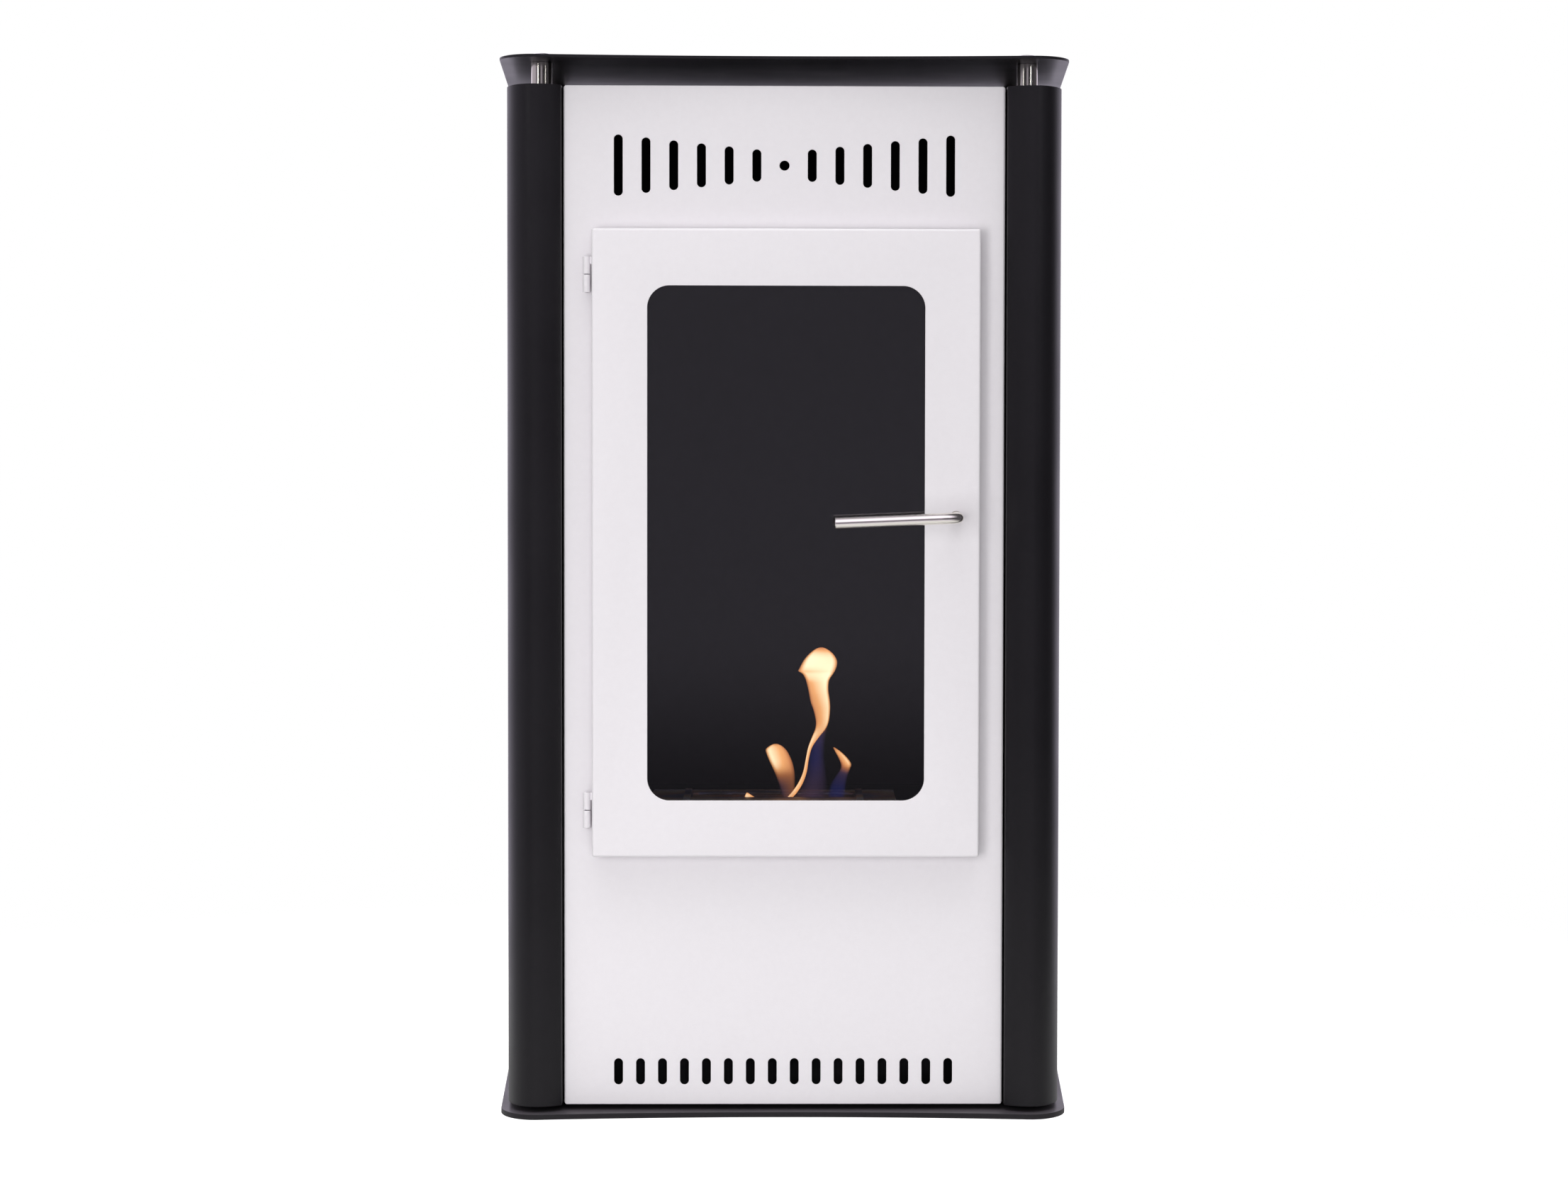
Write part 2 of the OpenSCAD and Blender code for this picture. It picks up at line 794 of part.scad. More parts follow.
module hinge_pins() {
    color("#a5a5a8")
        for (z = hinge_zs)
            translate([hinge_x, hinge_y, z - pin_reach])
                cylinder(d = pin_d, h = 2 * pin_reach);
}

// Upper knuckle of each hinge, with a short leaf to the door's folded rim
module hinge_door_knuckles() {
    bore_h = pin_reach + 1;
    color("#dfdbe0")
        for (z = hinge_zs)
            translate([hinge_x, hinge_y, z + knuckle_gap])
                difference() {
                    union() {
                        cylinder(d = knuckle_d, h = knuckle_h);
                        translate([0, -leaf_t / 2, knuckle_h - leaf_h])
                            cube([hinge_out, leaf_t, leaf_h]);
                    }
                    translate([0, 0, -cut])
                        cylinder(r = pin_d / 2 + running, h = bore_h + cut);
                }
}

// Plate on the back of the panel, which the turned tongue closes against
module latch_keeper() {
    color("#8d8d90")
        translate([aperture_right, panel_back_y, handle_z - keeper_h / 2])
            cube([handle_x + tongue_l + keeper_margin - aperture_right, keeper_t, keeper_h]);
}

// Folded pan of the door, set in by o from its outer faces
module door_pan(o) {
    intersection() {
        translate([0, door_y, o - door_h / 2])
            linear_extrude(door_h - 2 * o)
                polygon(channel(door_w / 2, rim_y - door_y + o, o));
        translate([0, door_y, 0])
            rotate([0, -90, 0])
                linear_extrude(door_w - 2 * o, center = true)
                    polygon(channel(door_h / 2, rim_y - door_y + o, o));
        through_y(door_y - cut, rim_y + cut + o)
            polygon(round_rect(door_w - 2 * o, door_h - 2 * o, bend_r - o, bend_steps));
    }
}

module door_skin() {
    color("#e3dfe4")
        translate([door_shift, 0, door_mid_z])
            difference() {
                union() {
                    difference() {
                        door_pan(0);
                        door_pan(sheet);
                    }
                    for (p = boss_spots)
                        translate([p[0], 0, p[1]])
                            bar_y(boss_d, door_y + sheet / 2, glass_back_y);
                }
                through_y(door_y - cut, skin_back_y + cut)
                    polygon(round_rect(window_w, window_h, window_r, 12));
                for (p = boss_spots)
                    translate([p[0], 0, p[1]])
                        bar_y(small_screw_d + 2 * screw_gap, skin_back_y, glass_back_y + cut);
                translate([handle_x - door_shift, 0, handle_z - door_mid_z])
                    bar_y(rod_d + 4 * running, door_y - cut, skin_back_y + cut);
            }
}

module glass_gasket() {
    gasket_set_back = 2;
    color("#1b1b1d")
        translate([door_shift, 0, door_mid_z])
            through_y(skin_back_y, gasket_back_y)
                difference() {
                    polygon(round_rect(glass_w, glass_h, glass_r));
                    polygon(round_rect(window_w + 2 * gasket_set_back,
                        window_h + 2 * gasket_set_back, window_r + gasket_set_back, 12));
                }
}

module door_glass() {
    color([0.16, 0.16, 0.18, 0.6])
        translate([door_shift, 0, door_mid_z])
            through_y(gasket_back_y, glass_back_y)
                polygon(round_rect(glass_w, glass_h, glass_r));
}

module glass_retainer() {
    outer_w = door_w - 2 * (sheet + retainer_edge);
    outer_h = door_h - 2 * (sheet + retainer_edge);
    color("#2e2d30")
        translate([door_shift, 0, door_mid_z])
            difference() {
                through_y(glass_back_y, retainer_back_y)
                    difference() {
                        polygon(round_rect(outer_w, outer_h, glass_r));
                        polygon(round_rect(window_w + 2 * retainer_inner,
                            window_h + 2 * retainer_inner, window_r + retainer_inner, 12));
                    }
                for (p = boss_spots)
                    translate([p[0], 0, p[1]])
                        bar_y(small_screw_d + 2 * screw_gap, glass_back_y - cut, retainer_back_y + cut);
                translate([handle_x - door_shift, 0, handle_z - door_mid_z])
                    bar_y(bush_d + 2 * screw_gap, glass_back_y - cut, retainer_back_y + cut);
            }
}

module retainer_screws() {
    color("#9a9a9d")
        translate([door_shift, 0, door_mid_z])
            for (p = boss_spots)
                translate([p[0], 0, p[1]]) {
                    bar_y(small_screw_d, retainer_back_y - screw_len, retainer_back_y);
                    bar_y(small_head_d, retainer_back_y, retainer_back_y + small_head_h);
                }
}

// Round rope in a closed ring behind the door's edge
module door_rope_seal() {
    half_w = door_w / 2 - seal_inset;
    half_h = door_h / 2 - seal_inset;
    color("#4a4a4d")
        translate([door_shift, seal_y, door_mid_z]) {
            for (s = [-1, 1]) {
                translate([s * half_w, 0, seal_r - half_h])
                    cylinder(d = seal_d, h = 2 * (half_h - seal_r));
                translate([seal_r - half_w, 0, s * half_h])
                    rotate([0, 90, 0])
                        cylinder(d = seal_d, h = 2 * (half_w - seal_r));
            }
            for (i = [0:3])
                mirror([i > 1 ? 1 : 0, 0, 0])
                    mirror([0, 0, i % 2])
                        translate([half_w - seal_r, 0, half_h - seal_r])
                            rotate([90, 0, 0])
                                rotate_extrude(angle = 90)
                                    translate([seal_r, 0])
                                        circle(d = seal_d);
        }
}

module handle_bush() {
    color("#b08d4f")
        translate([handle_x, 0, handle_z])
            difference() {
                union() {
                    bar_y(bush_flange_d, skin_back_y, skin_back_y + bush_flange_t);
                    bar_y(bush_d, skin_back_y, retainer_back_y + bush_flange_t);
                }
                bar_y(rod_d + 2 * running, skin_back_y - cut, retainer_back_y + bush_flange_t + cut);
            }
}

module handle_rod() {
    color("#b5b0aa")
        translate([handle_x, 0, handle_z])
            rotate([0, -handle_droop, 0]) {
                bar_y(spigot_d, tongue_y, tongue_y + tongue_t + nut_t + thread_end);
                bar_y(rod_d, grip_y + handle_bend, tongue_y);
                translate([-handle_bend, grip_y + handle_bend, 0])
                    rotate([0, 0, -90])
                        rotate_extrude(angle = 90)
                            translate([handle_bend, 0])
                                circle(d = rod_d);
                translate([-handle_bend, grip_y, 0])
                    rotate([0, -90, 0])
                        cylinder(d = rod_d, h = handle_arm - handle_bend);
            }
}

// Flat tongue that hangs from the shaft and turns behind the keeper
module latch_tongue() {
    color("#8d8d90")
        translate([handle_x, 0, handle_z])
            difference() {
                union() {
                    bar_y(tongue_w, tongue_y, tongue_y + tongue_t);
                    translate([-tongue_w / 2, tongue_y, -tongue_l])
                        cube([tongue_w, tongue_t, tongue_l]);
                }
                bar_y(spigot_d + running, tongue_y - cut, tongue_y + tongue_t + cut);
            }
}

module tongue_nut() {
    nut_y = tongue_y + tongue_t;
    color("#a5a5a8")
        translate([handle_x, nut_y + nut_t, handle_z])
            rotate([90, 0, 0])
                difference() {
                    cylinder(d = nut_w / cos(30), h = nut_t, $fn = 6);
                    translate([0, 0, -cut])
                        cylinder(d = spigot_d + running, h = nut_t + 2 * cut);
                }
}

module burner_tank() {
    color("#a9a6a3")
        translate([burner_x, flange_mid_y, tank_z])
            difference() {
                translate([-tank_w / 2, -tank_d / 2, 0])
                    cube([tank_w, tank_d, tank_h]);
                translate([tank_wall - tank_w / 2, tank_wall - tank_d / 2, tank_wall])
                    cube([tank_w - 2 * tank_wall, tank_d - 2 * tank_wall, tank_h]);
            }
}

module burner_flange() {
    color("#a9a6a3")
        translate([burner_x, 0, flange_z])
            linear_extrude(flange_t)
                difference() {
                    translate([0, flange_mid_y])
                        polygon(round_rect(flange_w, flange_d, mouth_r / 2));
                    translate([0, mouth_mid_y])
                        polygon(round_rect(mouth_w, mouth_d, mouth_r));
                }
}

module burner_wool() {
    side_gap = tank_wall + rest_gap;
    color("#d9d6cc")
        translate([burner_x - tank_w / 2 + side_gap, flange_mid_y - tank_d / 2 + side_gap,
            tank_z + side_gap])
            cube([tank_w - 2 * side_gap, tank_d - 2 * side_gap, wool_h]);
}

// Two folded rails that guide the lid over the flange
module lid_rails() {
    rail_h = rail_lip_z + sheet - flange_top;
    rail_l = lid_d + lid_travel;
    color("#8f8c89")
        translate([burner_x, lid_y, flange_top])
            for (s = [-1, 1])
                mirror([s < 0 ? 1 : 0, 0, 0]) {
                    translate([lid_w / 2 + rest_gap, 0, 0])
                        cube([rail_wall, rail_l, rail_h]);
                    translate([lid_w / 2 - rail_lip, 0, rail_h - sheet])
                        cube([rail_lip + rest_gap + rail_wall, rail_l, sheet]);
                }
}

module snuffer_lid() {
    color("#6f6c6a")
        translate([burner_x, lid_y, lid_z])
            difference() {
                translate([-lid_w / 2, 0, 0])
                    cube([lid_w, lid_d, lid_t]);
                translate([0, tool_hole_d * 1.5, -cut])
                    cylinder(d = tool_hole_d, h = lid_t + 2 * cut);
            }
}

base_plate();
base_spacers();
base_screws();
bottom_tray();
corner_posts();
hearth_rails();
side_shell_left();
side_shell_right();
front_panel();
back_panel();
back_panel_screws();
hearth_plate();
chamber_back();
chamber_left();
chamber_right();
chamber_ceiling();
top_deck();
standoffs();
standoff_bolts();
top_plate();
hinge_frame_knuckles();
hinge_pins();
latch_keeper();
door_skin();
glass_gasket();
door_glass();
glass_retainer();
retainer_screws();
door_rope_seal();
hinge_door_knuckles();
handle_bush();
handle_rod();
latch_tongue();
tongue_nut();
burner_tank();
burner_flange();
burner_wool();
lid_rails();
snuffer_lid();
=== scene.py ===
"""Looks of a free-standing bioethanol fireplace: a black steel casing with a white front, a
glazed door with a turning lever, a lift-out burner and its flames. All sizes are metres in
the CAD model's frame, with the floor at 0 and the door facing -Y."""

import math

import bmesh
import bpy
from mathutils import Matrix, Vector, noise


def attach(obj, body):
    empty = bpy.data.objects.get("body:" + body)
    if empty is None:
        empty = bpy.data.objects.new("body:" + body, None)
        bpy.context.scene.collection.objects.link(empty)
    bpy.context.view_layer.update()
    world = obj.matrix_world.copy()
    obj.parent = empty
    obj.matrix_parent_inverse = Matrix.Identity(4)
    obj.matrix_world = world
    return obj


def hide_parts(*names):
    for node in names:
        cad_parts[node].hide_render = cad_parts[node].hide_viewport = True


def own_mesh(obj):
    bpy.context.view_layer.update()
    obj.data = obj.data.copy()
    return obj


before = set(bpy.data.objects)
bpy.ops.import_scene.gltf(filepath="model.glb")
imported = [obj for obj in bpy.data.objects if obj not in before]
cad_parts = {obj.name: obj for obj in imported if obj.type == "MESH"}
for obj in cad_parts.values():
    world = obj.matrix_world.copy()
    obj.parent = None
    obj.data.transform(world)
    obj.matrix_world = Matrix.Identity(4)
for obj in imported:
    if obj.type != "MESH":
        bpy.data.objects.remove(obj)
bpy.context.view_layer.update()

# View
# The camera stands where the photographer's did: three and a half metres straight in front,
# at two thirds of the fireplace's height, looking slightly down and framed a little off centre.

scene = bpy.context.scene
scene.view_settings.view_transform = "Standard"
lens = bpy.data.cameras.new("view")
lens.sensor_width = 36.0
lens.lens = 84.63
lens.shift_x = -0.037
view = bpy.data.objects.new("view", lens)
view.location = (-0.0020, -3.4748, 0.6114)
view.rotation_euler = [math.radians(a) for a in (87.6865, -0.1216, -0.9327)]
scene.collection.objects.link(view)
scene.camera = view

# Base plate
# Thick steel plate that carries the casing on four spacer discs, with a front edge that is
# drawn in between two round lobes. It is laser cut, and powder coated in fine-textured black
# before the casing is screwed on from below.

base_thick = 0.005
soft_edge = (0.0006, 3)
casing_depth = 0.300
corner_x, corner_y, corner_r, corner_depth = 0.225, 0.123, 0.027, 0.044
side_flare = 2.5
front_corner_y = casing_depth / 2 - corner_depth
back_corner_x = corner_x + (front_corner_y + corner_y) * math.tan(math.radians(side_flare))


def oval(centre, across, deep, start, end, steps):
    """Points of an oval arc of two radii, with its angles in degrees."""
    turns = [math.radians(start + (end - start) * i / steps) for i in range(steps + 1)]
    return [(centre[0] + across * math.cos(a), centre[1] + deep * math.sin(a)) for a in turns]


def arc(centre, radius, start, end, steps):
    """Points of a round arc, with its angles in degrees."""
    return oval(centre, radius, radius, start, end, steps)


def oval_angle(angle, across, deep):
    """Where on an oval its outline stands at an angle."""
    return math.degrees(math.atan(math.tan(math.radians(angle)) * deep / across))


def mirrored(points):
    """The same points on the other side of the middle, in reverse order."""
    return [(-x, y) for x, y in reversed(points)]


def plate_plan():
    """Plan of the base and top plates: oval lobes, flared sides and a drawn-in front."""
    over, ahead, dip = 0.006, 0.0095, 0.013
    lobe_r, tip_y = corner_r + over, casing_depth / 2 + ahead
    tip_r = lobe_r**2 / corner_depth
    dip_y = (corner_x**2 / dip + 2 * (tip_y - tip_r) - dip) / 2
    dip_r = dip_y - (tip_y - dip)
    turn = math.degrees(math.asin(corner_x / (dip_r + tip_r)))
    half = arc((0, -dip_y), dip_r, 90, 90 - turn, 20)
    half += oval((corner_x, corner_depth - tip_y), lobe_r, corner_depth,
                 -90 - oval_angle(turn, corner_depth, lobe_r),
                 -oval_angle(side_flare, lobe_r, corner_depth), 40)[1:]
    half += arc((back_corner_x, corner_y), lobe_r, -side_flare, 90, 30)
    return half + mirrored(half)[:-1]


def tube(rings, closed=False):
    """Skin through rings of points, with flat ends or run round into a loop."""
    shape = bmesh.new()
    rows = [[shape.verts.new(point) for point in ring] for ring in rings]
    for a, b in zip(rows, rows[1:] + (rows[:1] if closed else [])):
        for k in range(len(a)):
            shape.faces.new((a[k - 1], a[k], b[k], b[k - 1]))
    if not closed:
        shape.faces.new(rows[0][::-1])
        shape.faces.new(rows[-1])
    return shape


def slab(plan, low, high):
    """Flat plate of the given plan between two heights."""
    return tube([[(x, y, z) for x, y in plan] for z in (low, high)])


def round_edges(piece, radius, steps=2):
    """Rounds a piece's sharp edges, and keeps its flat faces flat."""
    bevel = piece.modifiers.new("rounded edges", "BEVEL")
    bevel.width, bevel.segments = radius, steps
    bevel.limit_method, bevel.angle_limit = "ANGLE", math.radians(38)
    bevel.use_clamp_overlap = False
    bevel.harden_normals = True
    return piece


def make(shape, name, finish):
    """Object made of a bmesh, with smooth faces that point outwards."""
    bmesh.ops.recalc_face_normals(shape, faces=shape.faces[:])
    for face in shape.faces:
        face.smooth = True
    mesh = bpy.data.meshes.new(name)
    shape.to_mesh(mesh)
    shape.free()
    mesh.materials.append(finish)
    piece = bpy.data.objects.new(name, mesh)
    scene.collection.objects.link(piece)
    return piece


def settle(piece, body, slot=None, *nodes):
    """Turns a piece into a plain mesh, and fits it to its body in place of the CAD nodes."""
    graph = bpy.context.evaluated_depsgraph_get()
    mesh = bpy.data.meshes.new_from_object(
        piece.evaluated_get(graph), preserve_all_data_layers=True, depsgraph=graph)
    piece.modifiers.clear()
    piece.data = mesh
    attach(piece, body)
    if nodes:
        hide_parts(*nodes)
    return piece


def feed(made, sockets):
    """Sets a node's inputs to values, or links them to the outputs given in their place."""
    for key, value in sockets.items():
        socket = made.inputs[key]
        if isinstance(value, bpy.types.NodeSocket):
            made.id_data.links.new(value, socket)
        else:
            socket.default_value = (*value, 1) if socket.type == "RGBA" else value
    return made


def node(tree, kind, sockets=None, **settings):
    """Node with its settings, and its inputs fed by name or number."""
    made = tree.nodes.new(kind)
    for key, value in settings.items():
        setattr(made, key, value)
    return feed(made, sockets or {})


def coordinates(tree):
    """Where a shaded point lies, in metres."""
    return node(tree, "ShaderNodeTexCoord").outputs["Object"]


def cloud(tree, place, scale, detail, **more):
    """Noise at a place, as a value round a half."""
    sockets = {"Vector": place, "Scale": scale, "Detail": detail, **more}
    return node(tree, "ShaderNodeTexNoise", sockets).outputs["Fac"]


def maths(tree, operation, *values, **settings):
    """Result of a sum of values, each a number or an output."""
    sockets = dict(enumerate(values))
    return node(tree, "ShaderNodeMath", sockets, operation=operation, **settings).outputs[0]


def ranged(tree, value, start, end, low=0.0, high=1.0, **settings):
    """Value moved from one range to another, and held at its ends."""
    sockets = {"Value": value, "From Min": start, "From Max": end, "To Min": low, "To Max": high}
    return node(tree, "ShaderNodeMapRange", sockets, **settings).outputs["Result"]


def mixed(tree, share, a, b):
    """Mix of two values."""
    return node(tree, "ShaderNodeMix", {0: share, 2: a, 3: b}, data_type="FLOAT").outputs[0]


def tinted(tree, share, a, b, **settings):
    """Mix of two colours."""
    sockets = {0: share, 6: a, 7: b}
    return node(tree, "ShaderNodeMix", sockets, data_type="RGBA", **settings).outputs[2]


def bumped(tree, height, relief, strength=1.0, **settings):
    """Normal of a skin of some relief."""
    sockets = {"Height": height, "Distance": relief, "Strength": strength}
    return node(tree, "ShaderNodeBump", sockets, **settings).outputs["Normal"]


def group(name, kind, inputs, outputs):
    """Node group, its given values and its end; a socket is named with its default or type."""
    tree = bpy.data.node_groups.new(name, kind)
    types = {int: "Int", float: "Float", tuple: "Vector"}
    for way, sockets in (("INPUT", inputs), ("OUTPUT", outputs)):
        for label, value in sockets.items():
            sort = types.get(type(value), value)
            socket = tree.interface.new_socket(label, in_out=way, socket_type="NodeSocket" + sort)
            if sort != value:
                socket.default_value = value
    return tree, node(tree, "NodeGroupInput").outputs, node(tree, "NodeGroupOutput")


def new_finish(name, sockets):
    """Finish with some inputs of its shader set, with its tree and its shader."""
    finish = bpy.data.materials.new(name)
    finish.use_nodes = True
    tree = finish.node_tree
    return finish, tree, feed(tree.nodes["Principled BSDF"], sockets)


def opened(finish):
    """Tree and shader of a finish, and what gives it its colour."""
    tree = finish.node_tree
    shader = tree.nodes["Principled BSDF"]
    return tree, shader, shader.inputs["Base Color"].links[0].from_socket


def coat_grain():
    """Skin of baked powder: fine pebbles on a faint orange peel, and slow patches."""
    tree, given, result = group(
        "coat grain", "ShaderNodeTree", {"Grains per Metre": 700.0, "Patches per Metre": 7.0},
        {"Height": "Float", "Patch": "Float"})
    place, grains = coordinates(tree), given["Grains per Metre"]
    pebbles = cloud(tree, place, grains, 2.0, Roughness=0.6)
    peel = cloud(tree, place, maths(tree, "MULTIPLY", grains, 0.22), 1.0)
    patches = cloud(tree, place, given["Patches per Metre"], 3.0, Roughness=0.55)
    feed(result, {"Height": mixed(tree, 0.45, pebbles, peel), "Patch": patches})
    return tree


grain = coat_grain()


def textured(tree, shader, tone, dark, light, matt, roughness, height, relief):
    """Gives a shader two tones, two roughnesses and a relief, each after a value."""
    feed(shader, {"Base Color": tinted(tree, tone, dark, light),
                  "Roughness": ranged(tree, matt, 0.3, 0.7, *roughness),
                  "Normal": bumped(tree, height, relief)})


def powder_coat(name, dark, light, roughness, grains, relief, gloss):
    """Powder-coat finish: its tone follows its grain, and its roughness slow patches."""
    finish, tree, shader = new_finish(name, {"Specular IOR Level": gloss})
    skin = node(tree, "ShaderNodeGroup", {"Grains per Metre": grains}, node_tree=grain).outputs
    textured(tree, shader, skin["Height"], dark, light, skin["Patch"], roughness,
             skin["Height"], relief)
    return finish


black_coat = powder_coat("black powder coat", (0.0048, 0.0042, 0.0054),
                         (0.0072, 0.0064, 0.0079), (0.36, 0.46), 650.0, 0.00008, 0.30)
# Painted light: the base plate gets a lighter copy of the black coat, and its upward faces blend
# to a still lighter tone. This stands in for the light that falls on its top from above.
top_lit_coat = powder_coat("black powder coat with painted top light", (0.010, 0.009, 0.0105),
                          (0.014, 0.0125, 0.0145), (0.42, 0.54), 650.0, 0.00008, 0.30)
painted_top_light = (0.060, 0.054, 0.061)
tree, shader, coat = opened(top_lit_coat)
facing = node(tree, "ShaderNodeNewGeometry").outputs["Normal"]
upward = ranged(tree, node(tree, "ShaderNodeSeparateXYZ", {0: facing}).outputs["Z"], 0.5, 0.9)
feed(shader, {"Base Color": tinted(tree, upward, coat, painted_top_light)})
base_plate = make(slab(plate_plan(), 0.0, base_thick), "base-plate", top_lit_coat)
settle(round_edges(base_plate, *soft_edge), "casing", "black_powder_coat", "base_plate")

# Tray, posts and fire chamber
# What stands inside the casing: spacer discs, bottom tray, square-tube posts, hearth rails
# and the folded walls of the fire chamber. All is mild steel under a dead matt heat-proof
# paint, which shows only through the window, the slots and the open door.


def dress(finish, *nodes):
    """Gives a finish to CAD nodes whose shape stays."""
    for name in nodes:
        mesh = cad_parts[name].data
        mesh.materials.clear()
        mesh.materials.append(finish)


stove_black = powder_coat("heat-proof black", (0.0050, 0.0046, 0.0052), (0.0095, 0.0088, 0.0090),
                          (0.78, 0.90), 1400.0, 0.00004, 0.12)
dress(stove_black, "base_spacers", "bottom_tray", "corner_posts", "hearth_rails",
      "hearth_plate", "chamber_back", "chamber_left", "chamber_right", "chamber_ceiling")

# Side shells
# Two curtains of 1.5 mm sheet that wrap the sides: a rolled strip at the front that runs out
# in a long oval corner, a flank that spreads to the back, and a lip folded in beside each
# panel. Coated as the base plate is, and screwed to the posts from inside.

sheet = 0.0015
bend_r, cut_edge = 0.0025, 0.0004
inner_x = 0.201
lip = 0.014
strip_w, strip_r = 0.024, 0.035
casing_low, casing_high = 0.010, 0.934


def folded(outer, inner, low, high, trim=lambda x: 0.0):
    """Upright folded sheet between two lines of points; trim shortens it at both ends."""
    rings = []
    for (x, y), (u, v) in zip(outer, inner):
        bottom, top = low + trim(x), high - trim(x)
        rings.append([(x, y, bottom), (x, y, top), (u, v, top), (u, v, bottom)])
    return tube(rings)


def shell_line(inset):
    """Plan of the right shell, set in from its outer face, from front lip to back lip."""
    half = casing_depth / 2
    turn = math.asin((strip_w - bend_r) / (strip_r - bend_r))
    fold_y = half - strip_r + (strip_r - bend_r) * math.cos(turn)
    turn = math.degrees(turn)
    return ([(inner_x + inset, lip - fold_y - bend_r)]
            + arc((inner_x + bend_r, -fold_y), bend_r - inset, -180, -90 - turn, 6)
            + arc((corner_x, strip_r - half), strip_r - inset, -90 - turn, -90, 16)[1:]
            + oval((corner_x, -front_corner_y), corner_r - inset, corner_depth - inset, -90,
                   -oval_angle(side_flare, corner_r, corner_depth), 40)[1:]
            + arc((back_corner_x, corner_y), corner_r - inset, -side_flare, 90, 30)
            + arc((inner_x + bend_r, half - bend_r), bend_r - inset, 90, 180, 6)
            + [(inner_x + inset, half - lip)])


for side, turn in (("left", mirrored), ("right", list)):
    shell = make(folded(turn(shell_line(0)), turn(shell_line(sheet)), casing_low, casing_high),
                 "side-shell-" + side, black_coat)
    settle(round_edges(shell, cut_edge), "casing", "black_powder_coat", "side_shell_" + side)

# Front and back panels
# The front is one white sheet with its sides folded back, punched with a fan of air slots
# round a small hole above, a row of short slots below and the aperture behind the door. The
# back panel is a flat black sheet with the same lower slots, held by eight socket screws.

white_coat = powder_coat("white powder coat", (0.735, 0.705, 0.735), (0.790, 0.762, 0.792),
                         (0.34, 0.42), 900.0, 0.000018, 0.40)
panel_half, panel_fold = 0.1995, 0.015
panel_y, back_y = -0.1345, 0.142
door_x, door_z = 0.0018, 0.5215
aperture = (0.323, 0.513, 0.006)


def vectors(tree, operation, *values):
    """What a sum of vectors gives out: a vector, or its length as Value."""
    sockets = dict(enumerate(values))
    return node(tree, "ShaderNodeVectorMath", sockets, operation=operation).outputs


def shaped(tree, kind, sockets, **settings):
    """What a geometry node gives out first."""
    return node(tree, "GeometryNode" + kind, sockets, **settings).outputs[0]


def joined(tree, *parts):
    """Several geometries as one."""
    made = node(tree, "GeometryNodeJoinGeometry")
    for part in parts:
        feed(made, {0: part})
    return made.outputs[0]


def without(tree, whole, tool):
    """A geometry with another cut out of it."""
    return shaped(tree, "MeshBoolean", {"Mesh 1": whole, "Mesh 2": tool},
                  operation="DIFFERENCE", solver="EXACT")


def finish_tree(tree, whole, finish, result):
    """Ends a tree with smooth faces, real geometry and the finish."""
    real = shaped(tree, "RealizeInstances", {0: shaped(tree, "SetShadeSmooth", {0: whole})})
    feed(result, {0: shaped(tree, "SetMaterial", {"Geometry": real, "Material": finish})})


origin = (0.0, 0.0, 0.0)


def punched_row_tree():
    """Cuts a row of round-ended slots, mirrored about its middle, out of a sheet. A slot that
    is spread sideways is a rectangle with round corners."""
    tree, given, result = group("punched row", "GeometryNodeTree", {
        "Sheet": "Geometry", "Count": 1, "Sides": 24, "First": 0.0, "Pitch": 0.01,
        "Width": 0.008, "Length": 0.008, "Growth": 0.0, "Spread": 0.0, "Depth": 0.01,
        "Centre": origin, "Turn": origin, "Finish": "Material"}, {"Whole": "Geometry"})
    first, pitch, width, sides = (given[name] for name in ("First", "Pitch", "Width", "Sides"))

    def product(a, b):
        return maths(tree, "MULTIPLY", a, b)

    def spot(**parts):
        return node(tree, "ShaderNodeCombineXYZ", parts).outputs[0]

    def carried(kind, label, geometry, value):
        """Geometry that carries a value along, and the value."""
        made = node(tree, "GeometryNodeCaptureAttribute")
        made.capture_items.new(kind, label)
        feed(made, {"Geometry": geometry, label: value})
        return made.outputs["Geometry"], made.outputs[label]

    row = shaped(tree, "MeshLine", {
        "Count": given["Count"], "Start Location": spot(X=product(first, pitch)),
        "Offset": spot(X=pitch)}, mode="OFFSET")
    both = joined(tree, row, shaped(tree, "Transform", {"Geometry": row, "Scale": (-1, 1, 1)}))
    single = shaped(tree, "MergeByDistance", {"Geometry": both, "Distance": 0.0005})

    where = shaped(tree, "InputPosition", {})
    out = maths(tree, "ABSOLUTE", node(tree, "ShaderNodeSeparateXYZ", {0: where}).outputs["X"])
    index = maths(tree, "SUBTRACT", maths(tree, "DIVIDE", out, pitch), first)
    length = maths(tree, "ADD", product(index, given["Growth"]), given["Length"])
    points, stretch = carried("FLOAT", "Stretch", single,
                              product(maths(tree, "SUBTRACT", length, width), 0.5))

    tool = shaped(tree, "MeshCylinder", {
        "Vertices": sides, "Radius": product(width, 0.5), "Depth": given["Depth"]})
    tool = shaped(tree, "Transform", {
        "Geometry": tool, "Rotation": spot(Z=maths(tree, "DIVIDE", math.pi, sides))})
    tool, side = carried("VECTOR", "Side", tool, where)
    placed = shaped(tree, "InstanceOnPoints", {"Points": points, "Instance": tool})
    real = shaped(tree, "RealizeInstances", {0: placed})
    reach = spot(X=given["Spread"], Y=stretch)
    move = vectors(tree, "MULTIPLY", vectors(tree, "SIGN", side)[0], reach)[0]
    drawn = shaped(tree, "SetPosition", {"Geometry": real, "Offset": move})
    set_up = shaped(tree, "Transform", {
        "Geometry": drawn, "Translation": given["Centre"], "Rotation": given["Turn"]})
    finish_tree(tree, without(tree, given["Sheet"], set_up), given["Finish"], result)
    return tree


def run_tree(piece, tree, sizes):
    """Adds a tree to a piece, in its finish, with named inputs set by their identifiers."""
    step = piece.modifiers.new(tree.name, "NODES")
    step.node_group = tree
    sizes = {**sizes, "Finish": piece.data.materials[0]}
    for socket in tree.interface.items_tree:
        if socket.in_out == "INPUT" and socket.name in sizes:
            step[socket.identifier] = sizes[socket.name]


